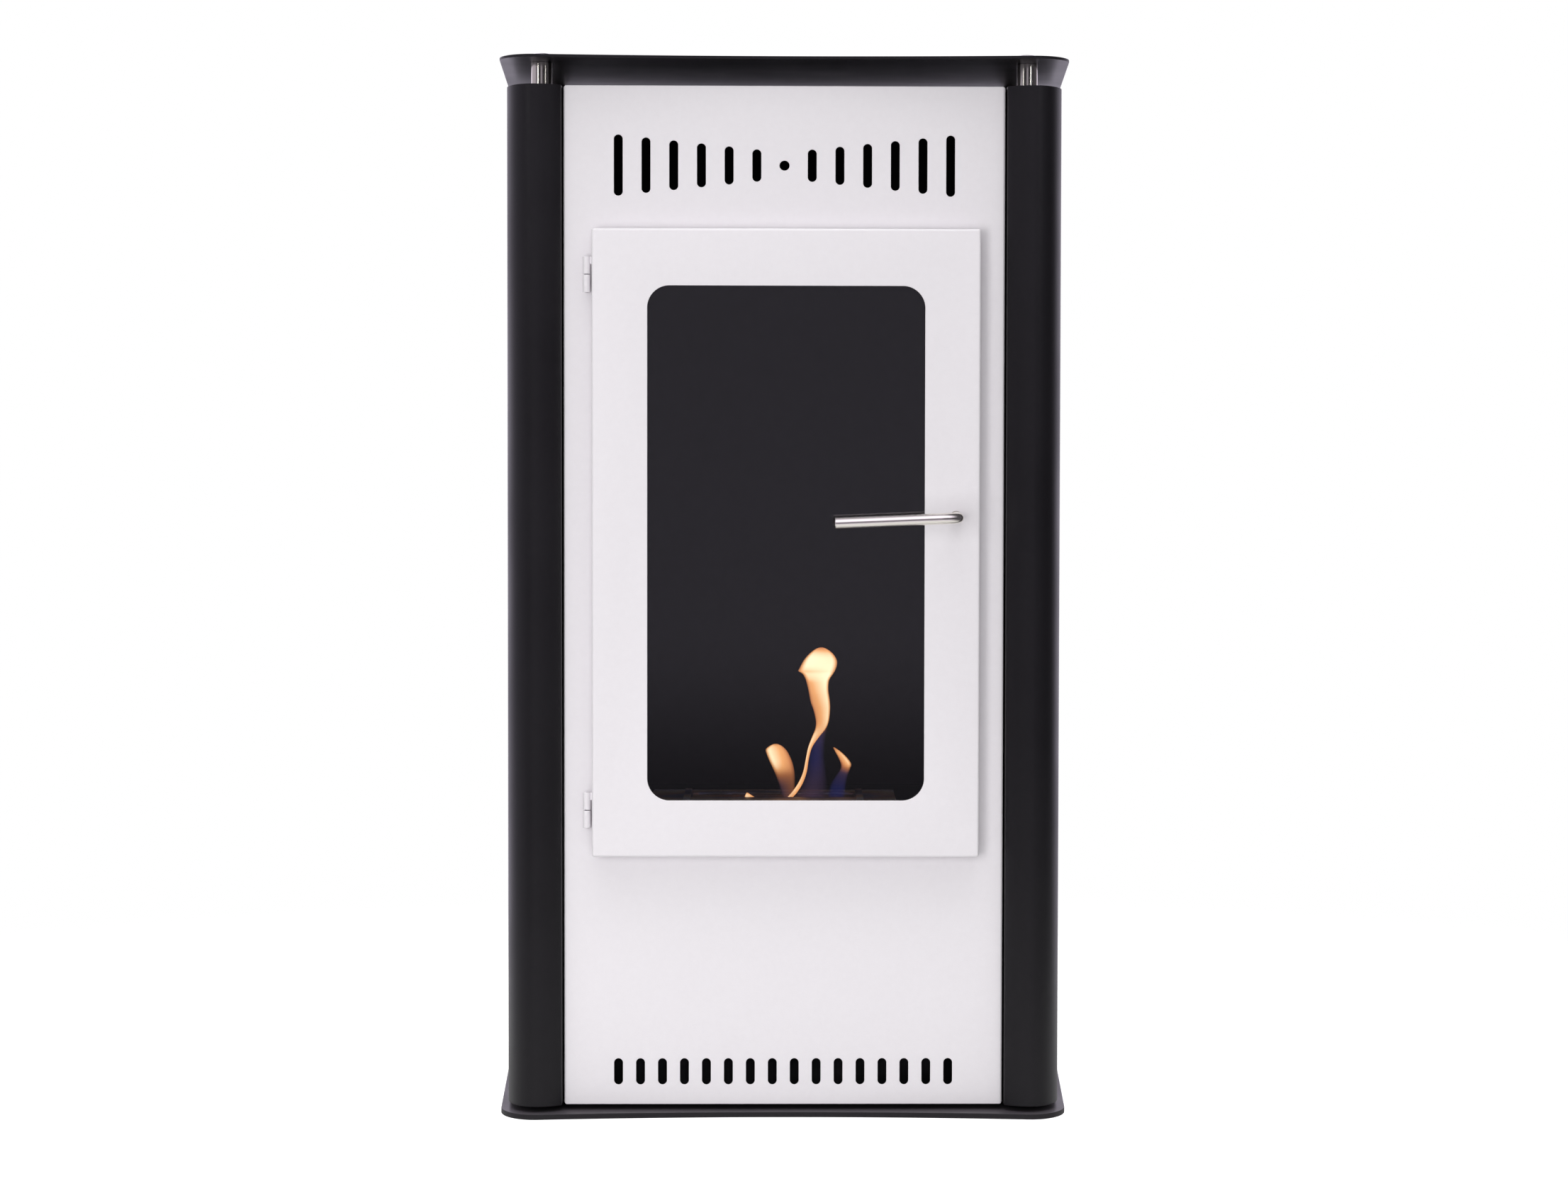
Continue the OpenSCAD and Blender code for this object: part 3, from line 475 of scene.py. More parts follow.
punched_row = punched_row_tree()


def opening(piece, wide, high, radius, centre, **more):
    """Cuts a round-cornered opening through a piece, or a round hole."""
    run_tree(piece, punched_row, {"Width": 2 * radius, "Length": high,
                                  "Spread": wide / 2 - radius, "Centre": centre, **more})


forwards = {"Turn": (math.radians(90), 0, 0), "Depth": 0.012}
slot_w = 0.008


def punch_lower_slots(piece, y, z):
    """The row of short slots that lets the air in near the bottom."""
    run_tree(piece, punched_row, {
        "Count": 8, "First": 0.5, "Pitch": 0.020, "Width": slot_w, "Length": 0.024,
        "Centre": (0, y, z), **forwards, "Depth": 0.02})


def panel_line(inset):
    """Plan of the front panel from its left flange round to its right one."""
    right = arc((panel_half - bend_r, panel_y + bend_r), bend_r - inset, -90, 0, 6)
    right.append((panel_half - inset, panel_y + panel_fold))
    return mirrored(right) + right


def corner_trim(x):
    """How much the panel's round corners shorten it at a distance from its middle."""
    past = min(max(abs(x) - (panel_half - bend_r), 0.0), bend_r)
    return bend_r - math.sqrt(bend_r**2 - past**2)


def round_rect(wide, high, radius, steps=8, centre=(0.0, 0.0)):
    """Rectangle with round corners, anticlockwise."""
    x, y = wide / 2 - radius, high / 2 - radius
    points = []
    for (cx, cy), start in (((x, y), 0), ((-x, y), 90), ((-x, -y), 180), ((x, -y), 270)):
        points += arc((centre[0] + cx, centre[1] + cy), radius, start, start + 90, steps)
    return points


def upright(plan, front, back):
    """Plate that stands on edge, between two depths."""
    shape = slab(plan, -back, -front)
    bmesh.ops.rotate(shape, verts=shape.verts[:], matrix=Matrix.Rotation(math.radians(90), 3, "X"))
    return shape


front = make(folded(panel_line(0), panel_line(sheet), casing_low, casing_high, corner_trim),
             "front-panel", white_coat)
fan_centre, fan_hole = (0, panel_y, 0.8624), 0.009
run_tree(front, punched_row, {
    "Count": 6, "First": 1.0, "Pitch": 0.025, "Width": slot_w, "Length": 0.029,
    "Growth": 0.0052, "Centre": fan_centre, **forwards})
opening(front, fan_hole, fan_hole, fan_hole / 2, fan_centre, **forwards)
punch_lower_slots(front, panel_y, 0.040)
opening(front, *aperture, (door_x, panel_y, door_z), **forwards)
settle(round_edges(front, cut_edge), "casing", "white_powder_coat", "front_panel")

casing_mid = (casing_low + casing_high) / 2
back = make(upright(round_rect(2 * panel_half, casing_high - casing_low, 0.0025,
                               centre=(0, casing_mid)), back_y - sheet, back_y),
            "back-panel", black_coat)
punch_lower_slots(back, back_y, 0.0465)
settle(round_edges(back, cut_edge), "casing", "black_powder_coat", "back_panel")

# Screws of the back panel and of the glass retainer
# Button-head socket screws of 4 mm thread, zinc plated. One tree turns them, each with a
# head, a shank and a hexagon socket, and sets them on points; it also turns the standoffs,
# bolts, hinge barrels and bosses.


def drawn_lines():
    """Fine lines left by drawing or brushing along a metal part, and a slow change of tone."""
    tree, given, result = group("drawn lines", "ShaderNodeTree", {"Vector": origin},
                                {"Height": "Float", "Tone": "Float"})
    feed(result, {"Height": cloud(tree, given["Vector"], 1.0, 3.0, Roughness=0.65),
                  "Tone": cloud(tree, given["Vector"], 0.06, 2.0)})
    return tree


drawn_metal = drawn_lines()


def stored(tree, attribute):
    """What a mesh holds at its points under a name."""
    return node(tree, "ShaderNodeAttribute", attribute_name=attribute).outputs


def metal(name, dark, light, roughness, spacing, relief, attribute=None):
    """Bare metal with drawn lines; spacing is the number of lines per metre along each axis."""
    finish, tree, shader = new_finish(name, {"Metallic": 1.0})
    place = stored(tree, attribute)["Vector"] if attribute else coordinates(tree)
    place = node(tree, "ShaderNodeMapping", {"Vector": place, "Scale": spacing}).outputs[0]
    lines = node(tree, "ShaderNodeGroup", {"Vector": place}, node_tree=drawn_metal).outputs
    textured(tree, shader, lines["Tone"], dark, light, lines["Height"], roughness,
             lines["Height"], relief)
    return finish


def turned_parts_tree():
    """Sets a turned part on each point: a head upwards, a shank downwards and a socket."""
    tree, given, result = group("turned parts", "GeometryNodeTree", {
        "Points": "Geometry", "Sides": 40, "Socket Sides": 6, "Radius": 0.004,
        "Height": 0.0024, "Shank Radius": 0.002, "Shank Length": 0.0, "Socket": 0.0,
        "Socket Depth": 0.0012, "Turn": origin, "Finish": "Material"}, {"Whole": "Geometry"})

    def bar(sides, radius, length, way, lift=None):
        """Round bar from the point upwards (way 0.5) or downwards (way -0.5)."""
        made = shaped(tree, "MeshCylinder", {
            "Vertices": given[sides], "Radius": given[radius], "Depth": given[length]})
        height = maths(tree, "MULTIPLY", given[length], way)
        if lift:
            height = maths(tree, "ADD", height, given[lift])
        up = node(tree, "ShaderNodeCombineXYZ", {"Z": height}).outputs[0]
        return shaped(tree, "Transform", {"Geometry": made, "Translation": up})

    def only_if(length, **choice):
        """One geometry where a size is above nothing, or else the other."""
        test = node(tree, "FunctionNodeCompare", {"A": given[length], "B": 1e-6},
                    data_type="FLOAT").outputs[0]
        return shaped(tree, "Switch", {"Switch": test, **choice}, input_type="GEOMETRY")

    head = bar("Sides", "Radius", "Height", 0.5)
    socketed = without(tree, head, bar("Socket Sides", "Socket", "Socket Depth", 0.0, "Height"))
    whole = joined(
        tree, only_if("Socket", **{"True": socketed, "False": head}),
        only_if("Shank Length", **{"True": bar("Sides", "Shank Radius", "Shank Length", -0.5)}))
    lay = shaped(tree, "Transform", {"Geometry": whole, "Rotation": given["Turn"]})
    placed = shaped(tree, "InstanceOnPoints", {"Points": given["Points"], "Instance": lay})
    real = shaped(tree, "RealizeInstances", {0: placed})
    finish_tree(tree, real, given["Finish"], result)
    return tree


turned_parts = turned_parts_tree()


def turned(name, points, finish, rounding, steps=2, **sizes):
    """Turned parts on a list of points, with rounded edges."""
    mesh = bpy.data.meshes.new(name)
    mesh.from_pydata(points, [], [])
    mesh.materials.append(finish)
    piece = bpy.data.objects.new(name, mesh)
    scene.collection.objects.link(piece)
    run_tree(piece, turned_parts, sizes)
    return round_edges(piece, rounding, steps)


zinc = metal("zinc plate", (0.42, 0.42, 0.44), (0.62, 0.62, 0.64), (0.28, 0.42),
             (900, 900, 900), 0.000008)
dress(zinc, "base_screws")
backwards = {"Turn": (math.radians(-90), 0, 0)}
screw = {"Radius": 0.004, "Height": 0.0024, "Shank Radius": 0.002, "Shank Length": 0.006,
         "Socket": 0.0014, "Socket Depth": 0.0026}
screw_edge = (0.0007, 3)
panel_w = 2 * panel_half
back_spots = [(x * panel_w, back_y, z) for x in (-0.4, -0.15, 0.15, 0.4) for z in (0.018, 0.925)]
settle(turned("back-panel-screws", back_spots, zinc, *screw_edge, **screw, **backwards),
       "casing", "zinc_steel", "back_panel_screws")

# Top deck, standoffs and top plate
# A slotted deck closes the casing. Four brushed stainless standoffs lift the top plate off
# it, so that hot air leaves through the gap; bolts run down through them into the posts, and
# end in round polished caps on the plate, which has the base plate's outline.

dress(black_coat, "top_deck")
bolt_end, deck_top, top_low, top_high = 0.9225, 0.933, 0.957, 0.9595
corners = [(sx * 0.2205, sy * 0.1085) for sx in (-1, 1) for sy in (-1, 1)]
brushed = metal("brushed stainless", (0.70, 0.665, 0.60), (0.74, 0.705, 0.64), (0.14, 0.16),
                (1600, 1600, 14), 0.0000006)
polished = metal("polished stainless", (0.66, 0.65, 0.64), (0.76, 0.75, 0.74), (0.12, 0.22),
                 (1200, 1200, 1200), 0.000004)
standoffs = turned("standoffs", [(x, y, deck_top) for x, y in corners], brushed, 0.0004,
                   Radius=0.0095, Height=top_low - deck_top)
settle(standoffs, "casing", "brushed_stainless", "standoffs")
bolt = {"Radius": 0.00875, "Height": 0.005, "Shank Radius": 0.004,
        "Shank Length": top_high - bolt_end, "Socket": 0.0029, "Socket Depth": 0.005}
caps = turned("standoff-bolts", [(x, y, top_high) for x, y in corners], polished, 0.0011, 4,
              **bolt)
settle(caps, "casing", "brushed_stainless", "standoff_bolts")
top_plate = make(slab(plate_plan(), top_low, top_high), "top-plate", black_coat)
settle(round_edges(top_plate, 0.0005, 3), "casing", "black_powder_coat", "top_plate")

# Door
# Shallow pan folded from 1.5 mm sheet and coated white as the front is, with a round-cornered
# window. Its folds are rounded, its corners are welded and ground, and eight bosses stand
# on its back for the screws of the glass retainer.

door_size = (0.350, 0.567)
door_face, door_rim = -0.1545, -0.1365
window = (0.250, 0.464, 0.020)
pivot_x, pivot_z = 0.155, 0.546
glass_back, retainer_back = -0.147, -0.1455
door_fold, bush_hole = 0.0025, 0.0104
pan = upright(round_rect(*door_size, 0.0002, 1, (door_x, door_z)), door_face, door_rim)
bmesh.ops.remove_doubles(pan, verts=pan.verts[:], dist=0.0005)
bmesh.ops.recalc_face_normals(pan, faces=pan.faces[:])
bmesh.ops.delete(pan, geom=[f for f in pan.faces if f.normal.y > 0.9], context="FACES_ONLY")
folds = [e for e in pan.edges if not all(v.co.y > door_rim - 1e-5 for v in e.verts)]
bmesh.ops.bevel(pan, geom=folds, offset=door_fold, segments=6, profile=0.5, affect="EDGES",
                clamp_overlap=False)
door = make(pan, "door-skin", white_coat)
wall = door.modifiers.new("sheet", "SOLIDIFY")
wall.thickness, wall.offset, wall.use_even_offset = sheet, -1.0, True
opening(door, *window, (door_x, door_face, door_z), Sides=64, **forwards)
opening(door, bush_hole, bush_hole, bush_hole / 2, (pivot_x, door_face, pivot_z), Sides=32,
        **forwards)
settle(round_edges(door, cut_edge), "door", "white_powder_coat", "door_skin")
boss_x, boss_z, boss_end_z = 0.145, 0.1877, 0.252
boss_spots = [(door_x + x, door_z + z) for x, z in
              [(sx * boss_x, sz * boss_z) for sx in (-1, 1) for sz in (-1, 0, 1)]
              + [(0, -boss_end_z), (0, boss_end_z)]]
boss_y = door_face + sheet / 2
bosses = turned("retainer-bosses", [(x, boss_y, z) for x, z in boss_spots], white_coat, 0.0002,
                Radius=0.004, Height=glass_back - boss_y, Sides=24, **backwards)
settle(bosses, "door", "white_powder_coat")

# Glass, gasket and retainer
# Lightly smoked ceramic glass of 4 mm, bedded on a soft black gasket strip and held by a
# matt black sheet ring with eight socket screws. In the photograph the dark room behind the
# camera shows in it, and the black chamber shows through.

glass_size = (0.280, 0.494, 0.008)
glass_front, gasket_front, gasket_edge = -0.151, -0.153, 0.002
glass_plan = round_rect(*glass_size, centre=(door_x, door_z))
glass, tree, shader = new_finish("door glass", {"Transmission Weight": 1.0, "IOR": 1.5})
haze = cloud(tree, coordinates(tree), 5.0, 4.0)
feed(shader, {"Base Color": tinted(tree, haze, (0.74, 0.74, 0.77), (0.69, 0.69, 0.72)),
              "Roughness": ranged(tree, haze, 0.35, 0.75, 0.0, 0.035)})
pane = make(upright(glass_plan, glass_front, glass_back), "door-glass", glass)
settle(round_edges(pane, cut_edge), "door", "door_glass", "door_glass")

gasket_black = powder_coat("gasket foam", (0.010, 0.010, 0.010), (0.018, 0.018, 0.018),
                           (0.85, 0.95), 1800.0, 0.00008, 0.2)
gasket = make(upright(glass_plan, gasket_front, glass_front), "glass-gasket", gasket_black)
opening(gasket, window[0] + 2 * gasket_edge, window[1] + 2 * gasket_edge,
        window[2] + gasket_edge, (door_x, (gasket_front + glass_front) / 2, door_z), Sides=64,
        **forwards)
settle(round_edges(gasket, *soft_edge), "door", "black_gasket", "glass_gasket")

dress(stove_black, "glass_retainer")
retainer_screws = turned("retainer-screws", [(x, retainer_back, z) for x, z in boss_spots],
                         zinc, *screw_edge, **screw, **backwards)
settle(retainer_screws, "door", "zinc_steel", "retainer_screws")

# Door seal
# Knitted glass-fibre rope of about 10 mm, laid in a closed ring round the back of the door
# and glued down; it presses on the front panel when the door is shut. Three strands wind
# round it, and a fine knit covers them.

seal_half = (0.167, 0.2755)
seal_r, seal_y, seal_corner = 0.00525, -0.14025, 0.014
rope_step, strand_pitch, strands, around = 0.0016, 0.030, 3, 18
ring = round_rect(2 * seal_half[0], 2 * seal_half[1], seal_corner, 10)
path = []
for i, (x, z) in enumerate(ring):
    before = ring[i - 1]
    steps = max(1, round(math.dist(before, (x, z)) / rope_step))
    for share in ((k + 1) / steps for k in range(steps)):
        path.append((before[0] + (x - before[0]) * share, before[1] + (z - before[1]) * share))
loops, coords, travelled = [], [], 0.0
for i, (x, z) in enumerate(path):
    ahead, behind = path[(i + 1) % len(path)], path[i - 1]
    travelled += math.dist(behind, (x, z)) if i else 0.0
    way = Vector((ahead[0] - behind[0], 0, ahead[1] - behind[1])).normalized()
    side = Vector((way.z, 0, -way.x))
    loops.append([])
    for k in range(around):
        angle = 2 * math.pi * k / around
        strand = math.cos(strands * (angle - travelled * 2 * math.pi / strand_pitch))
        reach = seal_r * (0.955 + 0.045 * strand)
        loops[-1].append(Vector((door_x + x, seal_y, door_z + z)) + reach * (
            math.cos(angle) * side + math.sin(angle) * Vector((0, 1, 0))))
        coords.append((travelled, angle / (2 * math.pi), 0.0))
glass_fibre, tree, shader = new_finish("glass-fibre rope",
                                       {"Sheen Weight": 0.4, "Roughness": 0.85})
knit_size = node(tree, "ShaderNodeMapping",
                 {"Vector": stored(tree, "wind")["Vector"], "Scale": (640.0, 14.0, 1.0)})
knit = node(tree, "ShaderNodeTexVoronoi", {"Vector": knit_size.outputs[0], "Scale": 1.0},
            voronoi_dimensions="2D").outputs["Distance"]
feed(shader, {"Base Color": tinted(tree, knit, (0.10, 0.10, 0.105), (0.03, 0.03, 0.032)),
              "Normal": bumped(tree, knit, 0.0005, 0.8, invert=True)})
seal = make(tube(loops, closed=True), "door-rope-seal", glass_fibre)


def store(piece, attribute, values):
    """Keeps a vector at each point of a piece."""
    kept = piece.data.attributes.new(attribute, "FLOAT_VECTOR", "POINT")
    kept.data.foreach_set("vector", [c for value in values for c in value])


store(seal, "wind", coords)
settle(seal, "door", "seal_rope", "door_rope_seal")

# Hinges
# Two lift-off hinges on the left: a barrel on a web welded to the panel, and above it a
# barrel on a short leaf welded to the door's folded rim, both painted with their parts. A
# zinc pin runs through each pair.

hinge = (-0.1782, -0.1425)
splits = (0.2795, 0.7635)
barrel = {"Radius": 0.0035, "Height": 0.0157, "Sides": 32}
weld_edge = 0.0005


def blocks(low, high):
    """A box at each hinge, between two corners given from the split of its barrels."""
    shape = bmesh.new()
    for z in splits:
        for vert in bmesh.ops.create_cube(shape, size=1.0)["verts"]:
            vert.co = Vector(at + a + (b - a) * (c + 0.5)
                             for at, a, b, c in zip((*hinge, z), low, high, vert.co))
    return shape


for body, knuckles, barrels, welds, foot, low, high in (
        ("casing", "hinge_frame_knuckles", "hinge-barrels-panel", "hinge-webs", -0.016,
         (-0.002, 0.0, -0.016), (0.002, panel_y - hinge[1], -0.0003)),
        ("door", "hinge_door_knuckles", "hinge-barrels-door", "hinge-leaves", 0.0005,
         (0.0, -0.0015, 0.0092), (0.005, 0.0015, 0.0162))):
    settle(turned(barrels, [(*hinge, z + foot) for z in splits], white_coat, weld_edge, 3,
                  **barrel), body, "white_powder_coat", knuckles)
    settle(round_edges(make(blocks(low, high), welds, white_coat), weld_edge), body,
           "white_powder_coat", knuckles)
dress(zinc, "hinge_pins")

# Handle and latch
# An L-bent rod of brushed 10 mm stainless, cut square at its free end with a small chamfer.
# It turns in a brass bush, and carries a zinc-plated tongue and nut behind the door, which
# close against a keeper plate on the back of the panel.

pivot = Vector((pivot_x, 0.0, pivot_z))
grip_y, tongue_y, rod_r, elbow = -0.2095, -0.1304, 0.005, 0.015
arm, droop, chamfer = 0.110, 2.4, 0.0006
shank_end, shank_r, shank_chamfer = -0.1204, 0.003, 0.0005
bend_steps, arm_steps, rod_sides = 16, 12, 40
rod_path = [((0, shank_end), shank_r - shank_chamfer), ((0, shank_end - shank_chamfer), shank_r),
            ((0, tongue_y), shank_r), ((0, tongue_y), rod_r)]
for i in range(bend_steps + 1):
    a = math.radians(90 * i / bend_steps)
    rod_path.append(((elbow * math.cos(a) - elbow, grip_y + elbow - elbow * math.sin(a)), rod_r))
for i in range(1, arm_steps + 1):
    rod_path.append(((-elbow - (arm - elbow - chamfer) * i / arm_steps, grip_y), rod_r))
rod_path.append(((-arm, grip_y), rod_r - chamfer))
rings, drawn, length = [], [], 0.0
for i, ((x, y), radius) in enumerate(rod_path):
    length += math.dist((x, y), rod_path[i - 1][0]) if i else 0.0
    if y > grip_y + elbow - 1e-6:
        way = Vector((0, -1, 0))
    else:
        turn = min(1.0, -x / elbow)
        a = math.acos(max(0.0, 1.0 - turn)) if turn < 1.0 else math.pi / 2
        way = Vector((-math.sin(a), -math.cos(a), 0))
    across = Vector((-way.y, way.x, 0))
    rings.append([])
    for k in range(rod_sides):
        a = 2 * math.pi * k / rod_sides
        rings[-1].append(Vector((x, y, 0)) + radius * (
            math.cos(a) * across + math.sin(a) * Vector((0, 0, 1))))
        drawn.append((length, rod_r * math.cos(a), rod_r * math.sin(a)))
rod = tube(rings)
place_rod = Matrix.Translation(pivot) @ Matrix.Rotation(math.radians(-droop), 4, "Y")
bmesh.ops.transform(rod, matrix=place_rod, verts=rod.verts[:])
rod_steel = metal("brushed rod", (0.76, 0.725, 0.665), (0.88, 0.845, 0.780), (0.18, 0.27),
                  (10, 1500, 1500), 0.000006, "drawn")
handle = make(rod, "handle-rod", rod_steel)
store(handle, "drawn", drawn)
handle.data.set_sharp_from_angle(angle=math.radians(35))
settle(handle, "handle", "brushed_stainless", "handle_rod")
brass = metal("brass", (0.50, 0.34, 0.13), (0.66, 0.47, 0.20), (0.25, 0.38),
              (700, 60, 700), 0.000006)
dress(brass, "handle_bush")
dress(zinc, "latch_tongue", "tongue_nut", "latch_keeper")

# Burner and snuffer lid
# A stainless tank hangs by its flange in the hearth plate, filled with ceramic wool that
# soaks up the fuel. Two folded rails guide a sheet lid that slides over the mouth to put the
# fire out. The metal is satin, and tinted straw and blue by the heat round the mouth.

burner_x, flange_low, flange_high = -0.0095, 0.2788, 0.2808
flange_y0, flange_y1 = -0.1145, 0.0465
mouth = (0.152, 0.060, 0.008)
mouth_y = -0.0155


def heat_tinted(name, base, roughness):
    """Satin stainless, tinted and sooted by the flames round the burner's mouth."""
    finish = metal(name, [c * 0.82 for c in base], base, roughness, (14, 900, 900), 0.000008)
    tree, shader, steel = opened(finish)
    place = coordinates(tree)
    off = vectors(tree, "SUBTRACT", place, (burner_x, mouth_y, flange_high))[0]
    reach = vectors(tree, "LENGTH", vectors(tree, "MULTIPLY", off, (8.5, 19.0, 6.0))[0])["Value"]
    stray = maths(tree, "MULTIPLY_ADD", cloud(tree, place, 45.0, 3.0), 0.55, reach)
    tint = node(tree, "ShaderNodeValToRGB", {"Fac": ranged(tree, stray, 0.0, 1.6)})
    first, last = tint.color_ramp.elements
    first.position, first.color = 0.55, (0.15, 0.145, 0.15, 1)
    last.position, last.color = 1.0, (1, 1, 1, 1)
    for spot, colour in ((0.66, (0.42, 0.44, 0.62)), (0.74, (0.72, 0.50, 0.40)),
                         (0.84, (0.95, 0.80, 0.55))):
        tint.color_ramp.elements.new(spot).color = (*colour, 1)
    feed(shader, {"Base Color": tinted(tree, 1.0, steel, tint.outputs["Color"],
                                       blend_type="MULTIPLY"), "Metallic": 0.45})
    return finish


burner_steel = heat_tinted("heat-tinted stainless", (0.60, 0.60, 0.63), (0.34, 0.50))
flange_w, through = 0.229, {"Sides": 32, "Depth": 0.012}
plan = round_rect(flange_w, flange_y1 - flange_y0, 0.004, 6,
                  (burner_x, (flange_y0 + flange_y1) / 2))
flange = make(slab(plan, flange_low, flange_high), "burner-flange", burner_steel)
opening(flange, *mouth, (burner_x, mouth_y, flange_low), **through)
settle(round_edges(flange, cut_edge), "burner", "burner_stainless", "burner_flange")
dress(burner_steel, "burner_tank", "lid_rails")

lid_y0, lid_y1, lid_low, lid_high = -0.113, -0.047, 0.2811, 0.2826
lid_w, tool_hole, tool_y = 0.162, 0.010, -0.098
plan = round_rect(lid_w, lid_y1 - lid_y0, 0.0012, 3, (burner_x, (lid_y0 + lid_y1) / 2))
lid = make(slab(plan, lid_low, lid_high), "snuffer-lid", burner_steel)
opening(lid, tool_hole, tool_hole, tool_hole / 2, (burner_x, tool_y, lid_low), **through)
settle(round_edges(lid, 0.0003), "snuffer", "burner_stainless", "snuffer_lid")

# Wool
# Loose ceramic fibre, felted into a pad that fills the tank under its mouth. Its top is
# tufted and a little sunken in the middle, and singed where the flames stand.

wool_low, wool_top = 0.2203, 0.2623
wool_half = (0.0985, 0.0645)
wool_mid = (burner_x, -0.034)
tuft_size, edge_drop = 0.0022, 0.006
pad = bmesh.new()
bmesh.ops.create_grid(pad, x_segments=56, y_segments=38, size=0.5)
for vert in pad.verts:
    u, v = vert.co.x, vert.co.y
    near = min(0.5 - abs(u), 0.5 - abs(v))
    x, y = wool_mid[0] + 2 * u * wool_half[0], wool_mid[1] + 2 * v * wool_half[1]
    tuft = (noise.noise(Vector((x * 90, y * 90, 3.0))) * 0.5
            + noise.noise(Vector((x * 260, y * 260, 7.0))) * 0.3)
    fall = 1.0 - (1.0 - min(1.0, near / 0.04)) ** 2
    vert.co = (x, y, wool_top - tuft_size * (1 - tuft) - edge_drop * (1 - fall))
rim = [e for e in pad.edges if e.is_boundary]
skirt = bmesh.ops.extrude_edge_only(pad, edges=rim)
for vert in [g for g in skirt["geom"] if isinstance(g, bmesh.types.BMVert)]:
    vert.co.z = wool_low
bmesh.ops.holes_fill(pad, edges=[e for e in pad.edges if e.is_boundary], sides=0)
fibre, tree, shader = new_finish("ceramic fibre", {"Roughness": 0.95, "Sheen Weight": 0.5})
place = coordinates(tree)
threads = cloud(tree, place, 520.0, 5.0, Distortion=1.5)
burnt = ranged(tree, cloud(tree, place, 30.0, 3.0), 0.42, 0.68)
feed(shader, {"Base Color": tinted(tree, burnt, (0.62, 0.59, 0.53), (0.20, 0.17, 0.14)),
              "Normal": bumped(tree, threads, 0.0006, 0.9)})
wool = make(pad, "ceramic-wool", fibre)
settle(wool, "burner", "ceramic_wool", "burner_wool")
